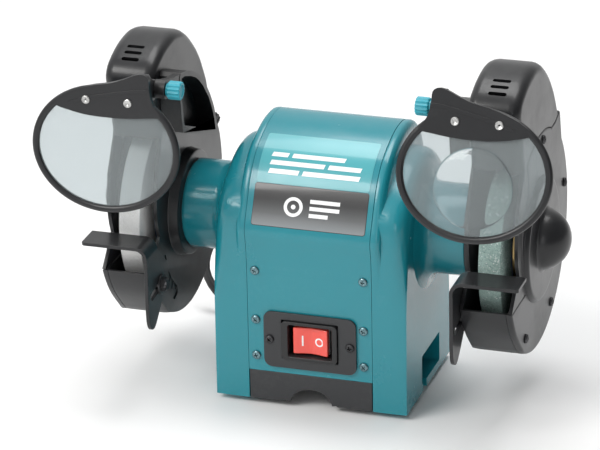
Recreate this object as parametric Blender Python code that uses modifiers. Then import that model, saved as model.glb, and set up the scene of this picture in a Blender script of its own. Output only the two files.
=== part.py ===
"""Double-ended bench grinder with spark shields, tool rests and a rocker switch.

The origin is on the bench, under the middle of the machine. +X points to the right-hand wheel,
-Y to the person who grinds, +Z up. Every helper takes millimetres measured from the middle of
the shaft, and an empty on the shaft carries all pieces. Paired pieces are built for the right
end and mirrored for the left one.
"""
import math

import bmesh
import bpy
from mathutils import Matrix, Vector

# Driving dimensions, in millimetres, from the middle of the shaft.
MM = 0.001
SHAFT_HEIGHT = 125.0  # shaft above the bench
SHAFT_BACK = 21.0  # shaft behind the middle of the machine's floor box
GAP = 0.3  # between pieces that touch

COVER_HALF = 46.2  # motor cover, half length along the shaft
RIM_OUT = 53.4  # end of the housing's rim that is flush with the cover
BODY_HALF = 71.5  # end face of the housing
BODY_FRONT = -64.0
BODY_REAR = 52.0
BODY_FLOOR = -120.6
PAN_TOP = -98.0
CREASE = 9.0  # height at which the upright front turns into the arch
CREASE_STEP = 3.0  # the arch stands proud of the front by this much
WALL = 2.5

TUBE_RADIUS = 32.6
TUBE_END = 105.0
SPIGOT_RADIUS = 30.5
SPIGOT_END = 116.2

SHAFT_RADIUS = 7.5
SPINDLE_RADIUS = 6.35
SPINDLE_END = 160.0
WHEEL_RADIUS = 68.0
WHEEL_IN = 125.0
WHEEL_OUT = 141.0

GUARD_IN = 114.0
GUARD_PLATE = 2.5
GUARD_OUT = 149.3
COVER_PLATE = 2.4
DISH_DEPTH = 3.6
DOME_RADIUS = 22.7

FOOT_HEIGHT = 4.1
FOOT_RADIUS = 8.5
FEET = [(60.0, -44.0), (60.0, 33.0)]

PIVOT_Y = -80.0  # hinge of the eye shields
SHIELD_UP = 41.9  # hinge above the middle of the shield, along its face
SHIELD_OUT = 17.5  # face in front of the hinge
SHIELD_HALF_WIDTH = 55.0
SHIELD_HALF_HEIGHT = 46.8
SHIELD_RIM = 2.7
LUG_X = 107.3  # the lug by which the shield hangs on its hinge
# Middle of the shield along the shaft, height of its hinge and lean of its face.
SHIELD_SETTING = {
    "right": (133.5, 123.5, math.radians(17)),
    "left": (135.5, 117.5, math.radians(4)),
}

REST_TOP = 0.0
REST_FRONT = -93.0
REST_REAR = -70.4
REST_THICK = 2.6
REST_END = 160.5
BOLT_Y = -66.0  # bolt of the tool rest
BOLT_Z = -38.0

CORD_RADIUS = 3.3
COIL_X = -38.0
COIL_Y = 150.0
COIL_RADIUS = 38.3
COIL_HALF_WIDTH = 13.7
COIL_HEIGHT = 13.6
STRAIN_RELIEF_LENGTH = 25.0

PLUG_X = -57.0
PLUG_Y = 222.5
PLUG_RADIUS = 18.5

# The cord from its strain relief to the coil, from the middle of the shaft.
CORD_ROUTE = [
    (-64.9, 106.4, -70.9),
    (-83.3, 123.7, -68.3),
    (-114.2, 125.7, -69.2),
    (-132.6, 111.1, -78.9),
    (-133.4, 92.2, -94.7),
    (-119.9, 82.9, -110.4),
    (-101.5, 87.8, -119.4),
    (-94.6, 105.0, -121.5),
    (-93.8, 126.0, -121.6),
    (-93.8, 149.0, -121.6),
]

OBJECT = "bench_grinder"


def clear_scene():
    for obj in list(bpy.data.objects):
        bpy.data.objects.remove(obj, do_unlink=True)


def make_collection(name):
    collection = bpy.data.collections.new(name)
    bpy.context.scene.collection.children.link(collection)
    return collection


def make_material(name, colour, roughness, metallic=0.0):
    material = bpy.data.materials.new(name)
    material.use_nodes = True
    shader = material.node_tree.nodes["Principled BSDF"]
    shader.inputs["Base Color"].default_value = (*colour, 1.0)
    shader.inputs["Roughness"].default_value = roughness
    shader.inputs["Metallic"].default_value = metallic
    material.diffuse_color = (*colour, 1.0)
    return material


clear_scene()
PARTS = make_collection(OBJECT)
CUTTERS = make_collection("cutters")
ORIGIN = bpy.data.objects.new("shaft_line", None)
ORIGIN.location = (0.0, SHAFT_BACK * MM, SHAFT_HEIGHT * MM)
PARTS.objects.link(ORIGIN)

TEAL = make_material("teal_paint", (0.05, 0.28, 0.33), 0.28)
CHARCOAL = make_material("charcoal_paint", (0.045, 0.047, 0.052), 0.45)
BLACK = make_material("black_plastic", (0.02, 0.02, 0.022), 0.5)
STEEL = make_material("steel", (0.5, 0.5, 0.5), 0.35, 1.0)
COPPER = make_material("copper_wire", (0.6, 0.25, 0.1), 0.4, 1.0)
ZINC = make_material("yellow_zinc", (0.7, 0.5, 0.2), 0.3, 1.0)
WHITE_GRIT = make_material("white_abrasive", (0.8, 0.8, 0.78), 0.9)
GREEN_GRIT = make_material("green_abrasive", (0.3, 0.45, 0.42), 0.9)
CLEAR = make_material("clear_plastic", (0.8, 0.85, 0.86), 0.05)
RED = make_material("red_rocker", (0.9, 0.12, 0.08), 0.3)
KNOB_BLUE = make_material("knob_blue", (0.05, 0.45, 0.55), 0.4)
RUBBER = make_material("rubber", (0.02, 0.02, 0.02), 0.8)


def add_object(name, mesh, material, smooth=True, origin=(0.0, 0.0, 0.0)):
    """Put a mesh in the parts collection; the mesh is moved so that its origin is at origin."""
    place = Vector(origin) * MM
    mesh.transform(Matrix.Translation(-place))
    if smooth:
        mesh.shade_smooth()
        mesh.set_sharp_from_angle(angle=math.radians(35))
    mesh.materials.clear()
    mesh.materials.append(material)
    obj = bpy.data.objects.new(name, mesh)
    obj.location = place
    obj.parent = ORIGIN
    PARTS.objects.link(obj)
    return obj


def as_tool(obj):
    """Turn an object into a Boolean tool that isn't part of the machine."""
    PARTS.objects.unlink(obj)
    CUTTERS.objects.link(obj)
    obj.hide_render = True
    obj.display_type = "WIRE"
    return obj


# Pieces that only the manifold solver leaves closed.
MANIFOLD_PIECES = ("guard_right", "shield_frame")


def combine(obj, tool, operation):
    modifier = obj.modifiers.new(operation.lower(), "BOOLEAN")
    modifier.operation = operation
    modifier.solver = "MANIFOLD" if obj.name.startswith(MANIFOLD_PIECES) else "EXACT"
    modifier.object = as_tool(tool)


def cut(obj, *tools):
    for tool in tools:
        combine(obj, tool, "DIFFERENCE")


def fuse(obj, *tools):
    for tool in tools:
        combine(obj, tool, "UNION")


def tidy_mesh(mesh):
    """Weld the seams of a generated mesh and point its faces out."""
    edit = bmesh.new()
    edit.from_mesh(mesh)
    bmesh.ops.remove_doubles(edit, verts=edit.verts, dist=0.00001)
    bmesh.ops.recalc_face_normals(edit, faces=edit.faces)
    edit.to_mesh(mesh)
    edit.free()
    return mesh


def evaluated(obj):
    """A new mesh of the object as its modifiers leave it, in the object's own space."""
    bpy.context.view_layer.update()
    graph = bpy.context.evaluated_depsgraph_get()
    return bpy.data.meshes.new_from_object(obj.evaluated_get(graph))


def baked(data, modify=None):
    """The mesh that a curve, or a mesh with one modifier, makes."""
    obj = bpy.data.objects.new("draft", data)
    bpy.context.scene.collection.objects.link(obj)
    if modify:
        modify(obj)
    mesh = evaluated(obj)
    bpy.data.objects.remove(obj, do_unlink=True)
    return tidy_mesh(mesh)


def box(name, low, high, material, bevel=0.0):
    """A box between two corners, with its edges rounded by bevel."""
    size = [(b - a) * MM for a, b in zip(low, high)]
    middle = Vector([(a + b) / 2 * MM for a, b in zip(low, high)])
    edit = bmesh.new()
    bmesh.ops.create_cube(edit, size=1.0)
    bmesh.ops.transform(edit, matrix=Matrix.Translation(middle) @ Matrix.Diagonal((*size, 1.0)),
                        verts=edit.verts)
    if bevel:
        bmesh.ops.bevel(edit, geom=edit.edges[:], offset=bevel * MM, segments=2,
                        affect="EDGES", profile=0.5)
    mesh = bpy.data.meshes.new(name)
    edit.to_mesh(mesh)
    edit.free()
    return add_object(name, mesh, material, smooth=False)


# Rotations that lay a flat outline, drawn in its own x and y, into the machine's planes.
PLANES = {
    "yz": Matrix(((0, 0, 1, 0), (1, 0, 0, 0), (0, 1, 0, 0), (0, 0, 0, 1))),
    "xz": Matrix(((1, 0, 0, 0), (0, 0, -1, 0), (0, 1, 0, 0), (0, 0, 0, 1))),
    "xy": Matrix.Identity(4),
}


def plate(name, outline, low, high, material, plane="yz", origin=(0.0, 0.0, 0.0)):
    """A flat outline in a plane, filled and extruded from low to high along the third axis."""
    curve = bpy.data.curves.new(name, "CURVE")
    curve.dimensions = "2D"
    curve.fill_mode = "BOTH"
    curve.extrude = (high - low) / 2 * MM
    spline = curve.splines.new("POLY")
    spline.points.add(len(outline) - 1)
    for point, (a, b) in zip(spline.points, outline):
        point.co = (a * MM, b * MM, 0.0, 1.0)
    spline.use_cyclic_u = True
    mesh = baked(curve)
    middle = (low + high) / 2 * MM * (-1 if plane == "xz" else 1)
    mesh.transform(PLANES[plane] @ Matrix.Translation((0.0, 0.0, middle)))
    return add_object(name, mesh, material, origin=origin)


def turned(name, profile, material, steps=48, axis="x", centre=(0.0, 0.0, 0.0), closed=True,
           origin=(0.0, 0.0, 0.0)):
    """A profile of (place along the axis, radius), turned about the axis through centre."""
    mesh = bpy.data.meshes.new(name)
    points = [(0.0, radius * MM, along * MM) for along, radius in profile]
    edges = [(i, i + 1) for i in range(len(points) - 1)]
    if closed:
        edges.append((len(points) - 1, 0))
    mesh.from_pydata(points, edges, [])

    def screw(obj):
        modifier = obj.modifiers.new("turn", "SCREW")
        modifier.axis = "Z"
        modifier.steps = steps
        modifier.render_steps = steps
        modifier.use_merge_vertices = True
        modifier.merge_threshold = 0.00001

    mesh = baked(mesh, screw)
    turn = {
        "x": Matrix.Rotation(math.radians(90), 4, "Y"),
        "y": Matrix.Rotation(math.radians(-90), 4, "X"),
        "z": Matrix.Identity(4),
    }[axis]
    mesh.transform(Matrix.Translation(Vector(centre) * MM) @ turn)
    return add_object(name, mesh, material, origin=origin)


def ring(name, low, high, inner, outer, material, **options):
    profile = [(low, inner), (high, inner), (high, outer), (low, outer)]
    return turned(name, profile, material, **options)


def rod(name, low, high, radius, material, **options):
    profile = [(low, 0.0), (low, radius), (high, radius), (high, 0.0)]
    return turned(name, profile, material, closed=False, **options)


def loft(name, sections, material):
    """A closed solid through outlines of equal length: a list of (x, outline in y and z)."""
    edit = bmesh.new()
    loops = []
    for x, outline in sections:
        loops.append([edit.verts.new((x * MM, y * MM, z * MM)) for y, z in outline])
    count = len(loops[0])
    for near, far in zip(loops, loops[1:]):
        for i in range(count):
            j = (i + 1) % count
            edit.faces.new((near[i], near[j], far[j], far[i]))
    edit.faces.new(loops[0])
    edit.faces.new(reversed(loops[-1]))
    edit.normal_update()
    bmesh.ops.triangulate(edit, faces=[f for f in edit.faces if len(f.verts) > 4])
    mesh = bpy.data.meshes.new(name)
    edit.to_mesh(mesh)
    edit.free()
    return add_object(name, tidy_mesh(mesh), material)


def wire(name, points, radius, material, resolution=3, cyclic=False):
    """A round wire along points, with flat caps."""
    curve = bpy.data.curves.new(name, "CURVE")
    curve.dimensions = "3D"
    curve.bevel_depth = radius * MM
    curve.bevel_resolution = resolution
    curve.use_fill_caps = True
    spline = curve.splines.new("POLY")
    spline.points.add(len(points) - 1)
    for point, place in zip(spline.points, points):
        point.co = (*[value * MM for value in place], 1.0)
    spline.use_cyclic_u = cyclic
    return add_object(name, baked(curve), material)


def arc(centre, radii, start, end, count):
    """Points on an ellipse's arc, angles in degrees from +first axis towards +second axis."""
    points = []
    for i in range(count):
        angle = math.radians(start + (end - start) * i / (count - 1))
        points.append((centre[0] + radii[0] * math.cos(angle),
                       centre[1] + radii[1] * math.sin(angle)))
    return points


def inset(line, amounts):
    """Move each point of an open line to the right of its direction by its own amount."""
    moved = []
    last = len(line) - 1
    for i, (a, b) in enumerate(line):
        before = line[max(i - 1, 0)]
        here = line[min(i, last - 1)]
        after = line[min(i + 1, last)]
        one = Vector((a - before[0], b - before[1])) if i else Vector((after[0] - a, after[1] - b))
        two = Vector((after[0] - a, after[1] - b)) if i < last else Vector((a - here[0], b - here[1]))
        one.normalize()
        two.normalize()
        along = (one + two).normalized()
        stretch = amounts[i] / max(0.5, along.dot(two))
        moved.append((a + along.y * stretch, b - along.x * stretch))
    return moved


def smooth_curve(points, spacing):
    """Points every spacing along a Catmull-Rom curve through the given ones."""
    route = [Vector(p) for p in points]
    ends = [2 * route[0] - route[1]] + route + [2 * route[-1] - route[-2]]
    fine = []
    for a, b, c, d in zip(ends, ends[1:], ends[2:], ends[3:]):
        for i in range(16):
            t = i / 16
            fine.append(0.5 * (2 * b + (c - a) * t + (2 * a - 5 * b + 4 * c - d) * t * t
                               + (3 * b - a - 3 * c + d) * t * t * t))
    fine.append(route[-1])
    length = sum((q - p).length for p, q in zip(fine, fine[1:]))
    count = max(2, round(length / spacing))
    step = length / count
    picked = [fine[0]]
    travelled = 0.0
    for p, q in zip(fine, fine[1:]):
        stretch = (q - p).length
        while travelled + stretch >= step * len(picked) and len(picked) < count:
            along = (step * len(picked) - travelled) / stretch
            picked.append(p.lerp(q, along))
        travelled += stretch
    picked.append(fine[-1])
    return picked


def mirrored(obj, name, material=None):
    """The left-hand twin of a right-hand piece."""
    mesh = evaluated(obj)
    mesh.transform(Matrix.Diagonal((-1.0, 1.0, 1.0, 1.0)))
    mesh.flip_normals()
    twin = bpy.data.objects.new(name, mesh)
    twin.location = (-obj.location.x, obj.location.y, obj.location.z)
    twin.parent = ORIGIN
    PARTS.objects.link(twin)
    if material:
        mesh.materials.clear()
        mesh.materials.append(material)
    return twin


def pair(right, left_material=None):
    """Mirror a piece whose name ends in _right."""
    mirrored(right, right.name.replace("_right", "_left"), left_material)


# Body -------------------------------------------------------------------------------------------

# The cover's arch from the crease at the front over the top to the rear, and the lower,
# rounder shoulder of the end housings.
ARCH = [(-67.0, 9.0), (-60.0, 27.0), (-46.5, 50.5), (-26.0, 66.0), (4.0, 73.0), (29.0, 69.0),
        (47.0, 50.0), (54.5, 26.0), (55.0, 9.0)]
SHOULDER = [(-64.0, 9.0), (-61.0, 25.0), (-49.0, 38.0), (-30.0, 50.0), (0.0, 57.5),
            (28.0, 50.5), (43.0, 37.0), (50.5, 22.0), (52.0, 9.0)]
ARCH_POINTS = 13


def smoothed(points, count):
    """The same number of evenly spaced points along any outline's smooth curve."""
    length = sum((Vector(b) - Vector(a)).length for a, b in zip(points, points[1:]))
    fine = smooth_curve(points, length / (4 * count))
    last = len(fine) - 1
    return [tuple(fine[round(i * last / (count - 1))]) for i in range(count)]


def body_outline(curve, inward, bottom, drop=0.5):
    """Front, arch and rear of the body, from front bottom to rear bottom, moved inward."""
    front = BODY_FRONT + inward
    rear = BODY_REAR - inward
    arch = smoothed(curve, ARCH_POINTS)
    arch = inset(arch, [inward] * ARCH_POINTS)
    return [(front, bottom), (front, CREASE - drop)] + arch + [(rear, CREASE - drop),
                                                               (rear, bottom)]


def lowered(outline, amount):
    """Draw an outline in, fully on its round top and by a fifth on its upright sides."""
    shares = [max(0.2, min(1.0, (z - 5.0) / 30.0)) for _, z in outline]
    return inset(outline, [amount * share for share in shares])


def make_motor_cover():
    outer = body_outline(ARCH, 0.0, PAN_TOP, CREASE_STEP)
    inner = body_outline(ARCH, WALL, PAN_TOP, CREASE_STEP)
    cover = plate("motor_cover", outer + inner[::-1], -COVER_HALF, COVER_HALF, TEAL)
    cut(cover, box("switch_opening", (-23, BODY_FRONT - 5, -87), (24, BODY_FRONT + 5, -54), TEAL))
    for x, z in cover_screw_places() + switch_screw_places():
        cut(cover, rod("screw_hole", -8, 8, 1.8, TEAL, steps=12, axis="y",
                       centre=(x, BODY_FRONT, z)))
    return cover


def cover_screw_places():
    return [(side * 40.2, z) for side in (-1, 1) for z in (-20.0, -58.0, -86.0)]


def switch_screw_places():
    return [(-29.5, -71.5), (30.5, -71.5)]


def make_front_screws():
    """Pan-head screws: six hold the cover, two hold the switch plate."""
    kinds = [("cover_screw", cover_screw_places(), 0.0, TEAL),
             ("switch_screw", switch_screw_places(), 2.2, BLACK)]
    for kind, places, proud, material in kinds:
        for number, (x, z) in enumerate(places, 1):
            seat = -GAP - proud
            profile = [(6.0, 0.0), (6.0, 1.5), (seat, 1.5), (seat, 3.2), (seat - 0.9, 3.0),
                       (seat - 1.7, 1.9), (seat - 2.0, 0.0)]
            turned(f"{kind}_{number}", profile, material, steps=8, axis="y",
                   centre=(x, BODY_FRONT, z), closed=False)


def make_end_housing():
    rim = body_outline(ARCH, 0.0, BODY_FLOOR, CREASE_STEP)
    sections = []
    for x, amount in ((COVER_HALF + GAP, 0.0), (49.6, 0.4), (51.6, 1.6), (RIM_OUT - 0.4, 4.0)):
        sections.append((x, lowered(rim, amount)))
    shoulder = body_outline(SHOULDER, 0.0, BODY_FLOOR)
    for x, amount in ((RIM_OUT + 0.6, 0.0), (60.0, 0.2), (65.5, 2.2), (69.5, 6.0),
                      (BODY_HALF, 11.0)):
        sections.append((x, lowered(shoulder, amount)))
    housing = loft("end_housing_right", sections, TEAL)
    collar = [(69.0, 0.0), (69.0, 44.0), (73.0, 44.0), (74.4, 42.6), (74.4, 37.5), (76.6, 34.2),
              (80.0, TUBE_RADIUS), (TUBE_END, TUBE_RADIUS), (TUBE_END, SPIGOT_RADIUS),
              (SPIGOT_END, SPIGOT_RADIUS), (SPIGOT_END, 0.0)]
    fuse(housing, turned("tube_tool", collar, TEAL, closed=False, steps=28))
    upper = body_outline(SHOULDER, 4.0, -88.0)
    cut(housing, plate("hollow_tool", upper, COVER_HALF - 2, 62.0, TEAL))
    cut(housing, plate("deep_hollow_tool", lowered(upper, 8.0), 61.0, 67.5, TEAL))
    cut(housing, box("lower_hollow_tool", (COVER_HALF - 2, BODY_FRONT + 3.7, BODY_FLOOR + 4),
                     (53.0, BODY_REAR - 3.7, -87.0), TEAL))
    bore = [(64.0, 0.0), (64.0, 28.6), (86.0, 28.6), (86.0, 17.8), (98.0, 17.8), (98.0, 9.5),
            (120.0, 9.5), (120.0, 0.0)]
    cut(housing, turned("bore_tool", bore, TEAL, closed=False, steps=24))
    alcove_low = BODY_FLOOR + 6.0
    cut(housing, box("alcove_tool", (56.5, -24.0, alcove_low), (78.0, 22.0, -92.0), TEAL))
    slot = [(80.0, -21.0), (80.0, -12.0)] + arc((63.5, -16.5), (4.5, 4.5), 90, 270, 9)
    cut(housing, plate("foot_slot_tool", slot, BODY_FLOOR - 3, alcove_low + 3, TEAL, plane="xy"))
    for x, y in FEET:
        cut(housing, rod("foot_hole_tool", -6.0, 3.2, 3.2, TEAL, steps=12, axis="z",
                         centre=(x, y, BODY_FLOOR)))
    return housing


def make_gland_hole(housing):
    """The strain relief passes through the rear wall of the left housing."""
    cut(housing, rod("gland_tool", -10, 10, 4.8, TEAL, steps=20, axis="y",
                     centre=(-60.0, BODY_REAR, -72.0)))


def make_base_pan():
    end = COVER_HALF - GAP
    top = PAN_TOP - GAP
    pan = box("base_pan", (-end, BODY_FRONT, BODY_FLOOR), (end, BODY_REAR, top), CHARCOAL)
    cut(pan, box("pan_hollow_tool", (-end - 5, BODY_FRONT + WALL, BODY_FLOOR + WALL),
                 (end + 5, BODY_REAR - WALL, 0.0), CHARCOAL))
    notch = arc((0.0, BODY_FLOOR - 1.0), (15.5, 12.0), 0, 180, 19)
    cut(pan, plate("notch_tool", notch, BODY_FRONT - 8, BODY_FRONT + 8, CHARCOAL, plane="xz"))
    return pan


def make_feet():
    profile = [(-SHAFT_HEIGHT, 0.0), (-SHAFT_HEIGHT, FOOT_RADIUS - 1.5),
               (-SHAFT_HEIGHT + 1.0, FOOT_RADIUS), (-SHAFT_HEIGHT + FOOT_HEIGHT, FOOT_RADIUS - 0.6),
               (-SHAFT_HEIGHT + FOOT_HEIGHT, 2.9), (-SHAFT_HEIGHT + 6.0, 2.9),
               (-SHAFT_HEIGHT + 6.0, 0.0)]
    for place, (x, y) in zip(("front", "rear"), FEET):
        pair(turned(f"foot_{place}_right", profile, RUBBER, steps=16, axis="z",
                    centre=(x, y, 0.0), closed=False))


# Motor ------------------------------------------------------------------------------------------


def make_motor():
    ring("stator_core", -22, 22, 28.0, 49.2, STEEL, steps=24)
    coil = [(22.3, 31), (22.3, 43), (27, 46), (35, 46), (39, 43), (39, 33), (35, 30.5)]
    pair(turned("winding_right", coil, COPPER, steps=16))
    core = [(-26, SHAFT_RADIUS + GAP), (26, SHAFT_RADIUS + GAP), (26, 25), (22, 27.4),
            (-22, 27.4), (-26, 25)]
    turned("rotor_core", core, STEEL, steps=20)
    end = SPINDLE_END
    shaft = [(-end, 0), (-end, 5.6), (-end + 0.8, SPINDLE_RADIUS), (-104, SPINDLE_RADIUS),
             (-104, SHAFT_RADIUS), (104, SHAFT_RADIUS), (104, SPINDLE_RADIUS),
             (end - 0.8, SPINDLE_RADIUS), (end, 5.6), (end, 0)]
    turned("shaft", shaft, STEEL, closed=False, steps=16)
    pair(ring("bearing_outer_right", 86.3, 97.7, 13.6, 17.5, STEEL, steps=24))
    pair(ring("bearing_inner_right", 86.3, 97.7, SHAFT_RADIUS + GAP, 10.6, STEEL, steps=20))
    rod("capacitor", -26, 26, 14.0, BLACK, steps=20, centre=(0, 22, -100))


# Switch -----------------------------------------------------------------------------------------

SWITCH_X = 0.5
SWITCH_Z = -70.5
ROCKER_DEPTH = 5.0  # pivot behind the front of the body


def rounded_rectangle(low, high, radius, count=5):
    corners = [((high[0] - radius, high[1] - radius), 0), ((low[0] + radius, high[1] - radius), 90),
               ((low[0] + radius, low[1] + radius), 180), ((high[0] - radius, low[1] + radius), 270)]
    points = []
    for centre, start in corners:
        points += arc(centre, (radius, radius), start, start + 90, count)
    return points


def make_switch():
    frame = plate("switch_plate", rounded_rectangle((-34, -93), (35, -50), 6), BODY_FRONT - 2.2,
                  BODY_FRONT - GAP, CHARCOAL, plane="xz")
    cut(frame, box("plate_window_tool", (-20.6, -70, -85.6), (21.6, -60, -55.4), CHARCOAL))
    for x, z in switch_screw_places():
        cut(frame, rod("plate_hole_tool", -8, 8, 1.8, CHARCOAL, steps=12, axis="y",
                       centre=(x, BODY_FRONT, z)))
    bezel = rounded_rectangle((-20.3, -85.3), (21.3, -55.7), 3)
    housing = plate("switch_housing", bezel, BODY_FRONT - 4.2, BODY_FRONT + 22, BLACK, plane="xz")
    cut(housing, plate("rocker_well_tool", rounded_rectangle((-14, -82), (16, -59), 1.5),
                       BODY_FRONT - 16, BODY_FRONT + 17, BLACK, plane="xz"))
    lobes = [(-12.8, -3.0), (-12.8, 4.4), (-6.0, 3.0), (0.0, 2.3), (6.0, 3.0), (12.8, 4.4),
             (12.8, -3.0), (6.0, -6.5), (-6.0, -6.5)]
    pivot_y = BODY_FRONT + ROCKER_DEPTH
    outline = [(SWITCH_X + 0.5 + a, pivot_y - b - 3.0) for a, b in lobes]
    plate("rocker", outline, SWITCH_Z - 10.2, SWITCH_Z + 10.2, RED, plane="xy",
          origin=(SWITCH_X + 0.5, pivot_y, SWITCH_Z))


# Wheels -----------------------------------------------------------------------------------------


def make_wheel_stack():
    bore = SPINDLE_RADIUS + GAP
    inner = [(107, bore), (124.7, bore), (124.7, 31), (122.5, 32.5), (119.5, 32), (118.5, 14),
             (118.5, 8.8), (107, 8.8)]
    pair(turned("inner_flange_right", inner, STEEL, steps=24))
    wheel = [(WHEEL_IN, bore), (WHEEL_OUT, bore), (WHEEL_OUT, WHEEL_RADIUS - 0.8),
             (WHEEL_OUT - 0.8, WHEEL_RADIUS), (WHEEL_IN + 0.8, WHEEL_RADIUS),
             (WHEEL_IN, WHEEL_RADIUS - 0.8)]
    pair(turned("grinding_wheel_right", wheel, GREEN_GRIT, steps=40), WHITE_GRIT)
    outer = [(141.3, bore), (146.0, bore), (146.0, 16), (143.2, 24), (144.4, 33), (143.4, 36),
             (141.3, 36)]
    pair(turned("outer_flange_right", outer, ZINC, steps=28), STEEL)
    thread = bore / math.cos(math.radians(30))
    nut = [(146.3, thread), (155.5, thread), (155.5, 10.0), (154.6, 10.9), (146.3, 10.9)]
    pair(turned("wheel_nut_right", nut, STEEL, steps=6))


# Guards -----------------------------------------------------------------------------------------

# The guard's edge from the hood's lower front lip over the top and round to the pocket's lip.
HOOD = [(-49.0, 66.0), (-53.0, 84.0), (-59.0, 107.0), (-60.0, 113.0), (-57.5, 119.5),
        (-51.0, 125.5), (-36.5, 131.3), (-22.0, 134.0), (-9.0, 134.2), (6.0, 130.5), (27.0, 117.0),
        (45.0, 97.5), (57.5, 76.0)]
RIM_RADIUS = 82.5
POCKET = [(-43.0, -71.5), (-57.0, -57.5), (-67.5, -45.0), (-76.0, -30.0), (-77.0, -27.0)]
PLATE_FRONT = [(-56.0, -6.0), (-59.5, 4.0), (-61.0, 17.0), (-58.0, 40.0)]
SEAM_RADIUS = 79.0


def guard_edge():
    return HOOD + arc((0, 0), (RIM_RADIUS, RIM_RADIUS), 32, -112, 12) + POCKET


def hood_share(point):
    """1 on the hood, where the sides are rounded, 0 on the rest of the rim."""
    return max(0.0, min(1.0, (point[1] - 30.0) / 40.0))


def guard_section(edge, front, base, rounding):
    amounts = [base + rounding * hood_share(p) for p in edge]
    return inset(edge, amounts) + front


def make_guard():
    edge = guard_edge()
    sections = []
    for x, rounding in ((GUARD_IN, 8.0), (116.2, 3.6), (121.0, 0.0), (144.0, 0.0), (149.2, 3.6),
                        (151.8, 8.0)):
        sections.append((x, guard_section(edge, PLATE_FRONT, 0.0, rounding)))
    guard = loft("guard_right", sections, CHARCOAL)
    opening = [(-110.0, -27.0), (-110.0, 66.0)]
    inside = []
    for x, rounding in ((GUARD_IN + GUARD_PLATE, 9.0), (118.7, 3.6), (123.5, 0.0), (141.5, 0.0),
                        (146.7, 3.6), (149.2, 9.0)):
        section = guard_section(edge, opening, 2.5, rounding)
        section[0] = (section[0][0], 66.0)
        section[len(edge) - 1] = (section[len(edge) - 1][0], -27.0)
        inside.append((x, section))
    cut(guard, loft("guard_hollow_tool", inside, CHARCOAL))
    side = cover_outline(GAP)
    cut(guard, plate("cover_seat_tool", side, GUARD_OUT - 2.0, 156.0, CHARCOAL))
    boss = [(106.3, SPIGOT_RADIUS + GAP), (116.4, SPIGOT_RADIUS + GAP), (116.4, 36.0),
            (114.4, 37.0), (114.4, 39.5), (106.3, 38.5)]
    fuse(guard, turned("guard_boss_tool", boss, CHARCOAL, steps=24))
    cut(guard, rod("guard_bore_tool", 100, 120, SPIGOT_RADIUS + GAP, CHARCOAL, steps=24))
    cut(guard, rod("rest_bolt_hole_tool", 100, 120, 3.3, CHARCOAL, steps=10,
                   centre=(0, BOLT_Y, BOLT_Z)))
    for number in range(3):
        y = -38.0 - number * 6.3
        z = 132.0 - number * 2.6
        slot = rounded_rectangle((-6.5, -1.6), (6.5, 1.6), 1.5, 2)
        tool = plate("hood_slot_tool", slot, -9, 9, CHARCOAL, plane="xy")
        tool.location = (134 * MM, y * MM, z * MM)
        tool.rotation_euler.x = math.radians(16 + number * 6)
        cut(guard, tool)
    return guard


def cover_outline(grow):
    """The edge of the guard's outer cover; grow moves it outward."""
    points = [(-40.0, -27.0), (-45.0, -14.0), (-49.0, 0.0), (-50.0, 18.0), (-46.0, 33.0),
              (-36.0, 44.0), (-33.0, 56.0), (-37.0, 70.0)]
    points += arc((0, 0), (SEAM_RADIUS, SEAM_RADIUS), 115, 66, 6)
    points += [(42.0, 72.5), (52.0, 75.0)]
    points = inset(points, [-grow] * len(points))
    if grow:
        points += [(66.0, 75.5), (90.0, 60.0), (95.0, 0.0), (90.0, -60.0), (40.0, -95.0),
                   (0.0, -95.0), (-60.0, -80.0), (-90.0, -40.0), (-90.0, -26.7)]
        points[0] = (points[0][0], -26.7)
    else:
        points += [(58.2, 74.6)]
        points += arc((0, 0), (RIM_RADIUS + 0.3, RIM_RADIUS + 0.3), 32, -112, 12)
        points += POCKET
    return points


def make_guard_cover():
    low = GUARD_OUT - 2.0 + GAP
    high = low + COVER_PLATE + 2.0
    cover = plate("guard_cover_right", cover_outline(0.0), low, high, CHARCOAL)
    dish = [(low + 1.0, 0.0), (low + 1.0, 46.2), (high, 46.2), (high + DISH_DEPTH, 44.0)]
    dome = arc((high + 0.5, 0.0), (DOME_RADIUS - 0.4, DOME_RADIUS), 81, 0, 5)
    dish += [(high + DISH_DEPTH, DOME_RADIUS + 0.8)] + dome
    fuse(cover, turned("dish_tool", dish, CHARCOAL, closed=False, steps=24))
    inner = [(low - 3.0, 0.0), (low - 3.0, 43.0), (high + 0.9, 43.0), (high + 1.2, 42.0),
             (high + 1.2, DOME_RADIUS - 2.4)]
    inner += arc((high + 0.5, 0.0), (DOME_RADIUS - 2.8, DOME_RADIUS - 2.4), 80, 0, 5)
    cut(cover, turned("dish_hollow_tool", inner, CHARCOAL, closed=False, steps=24))
    return cover


# Tool rests -------------------------------------------------------------------------------------


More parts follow.
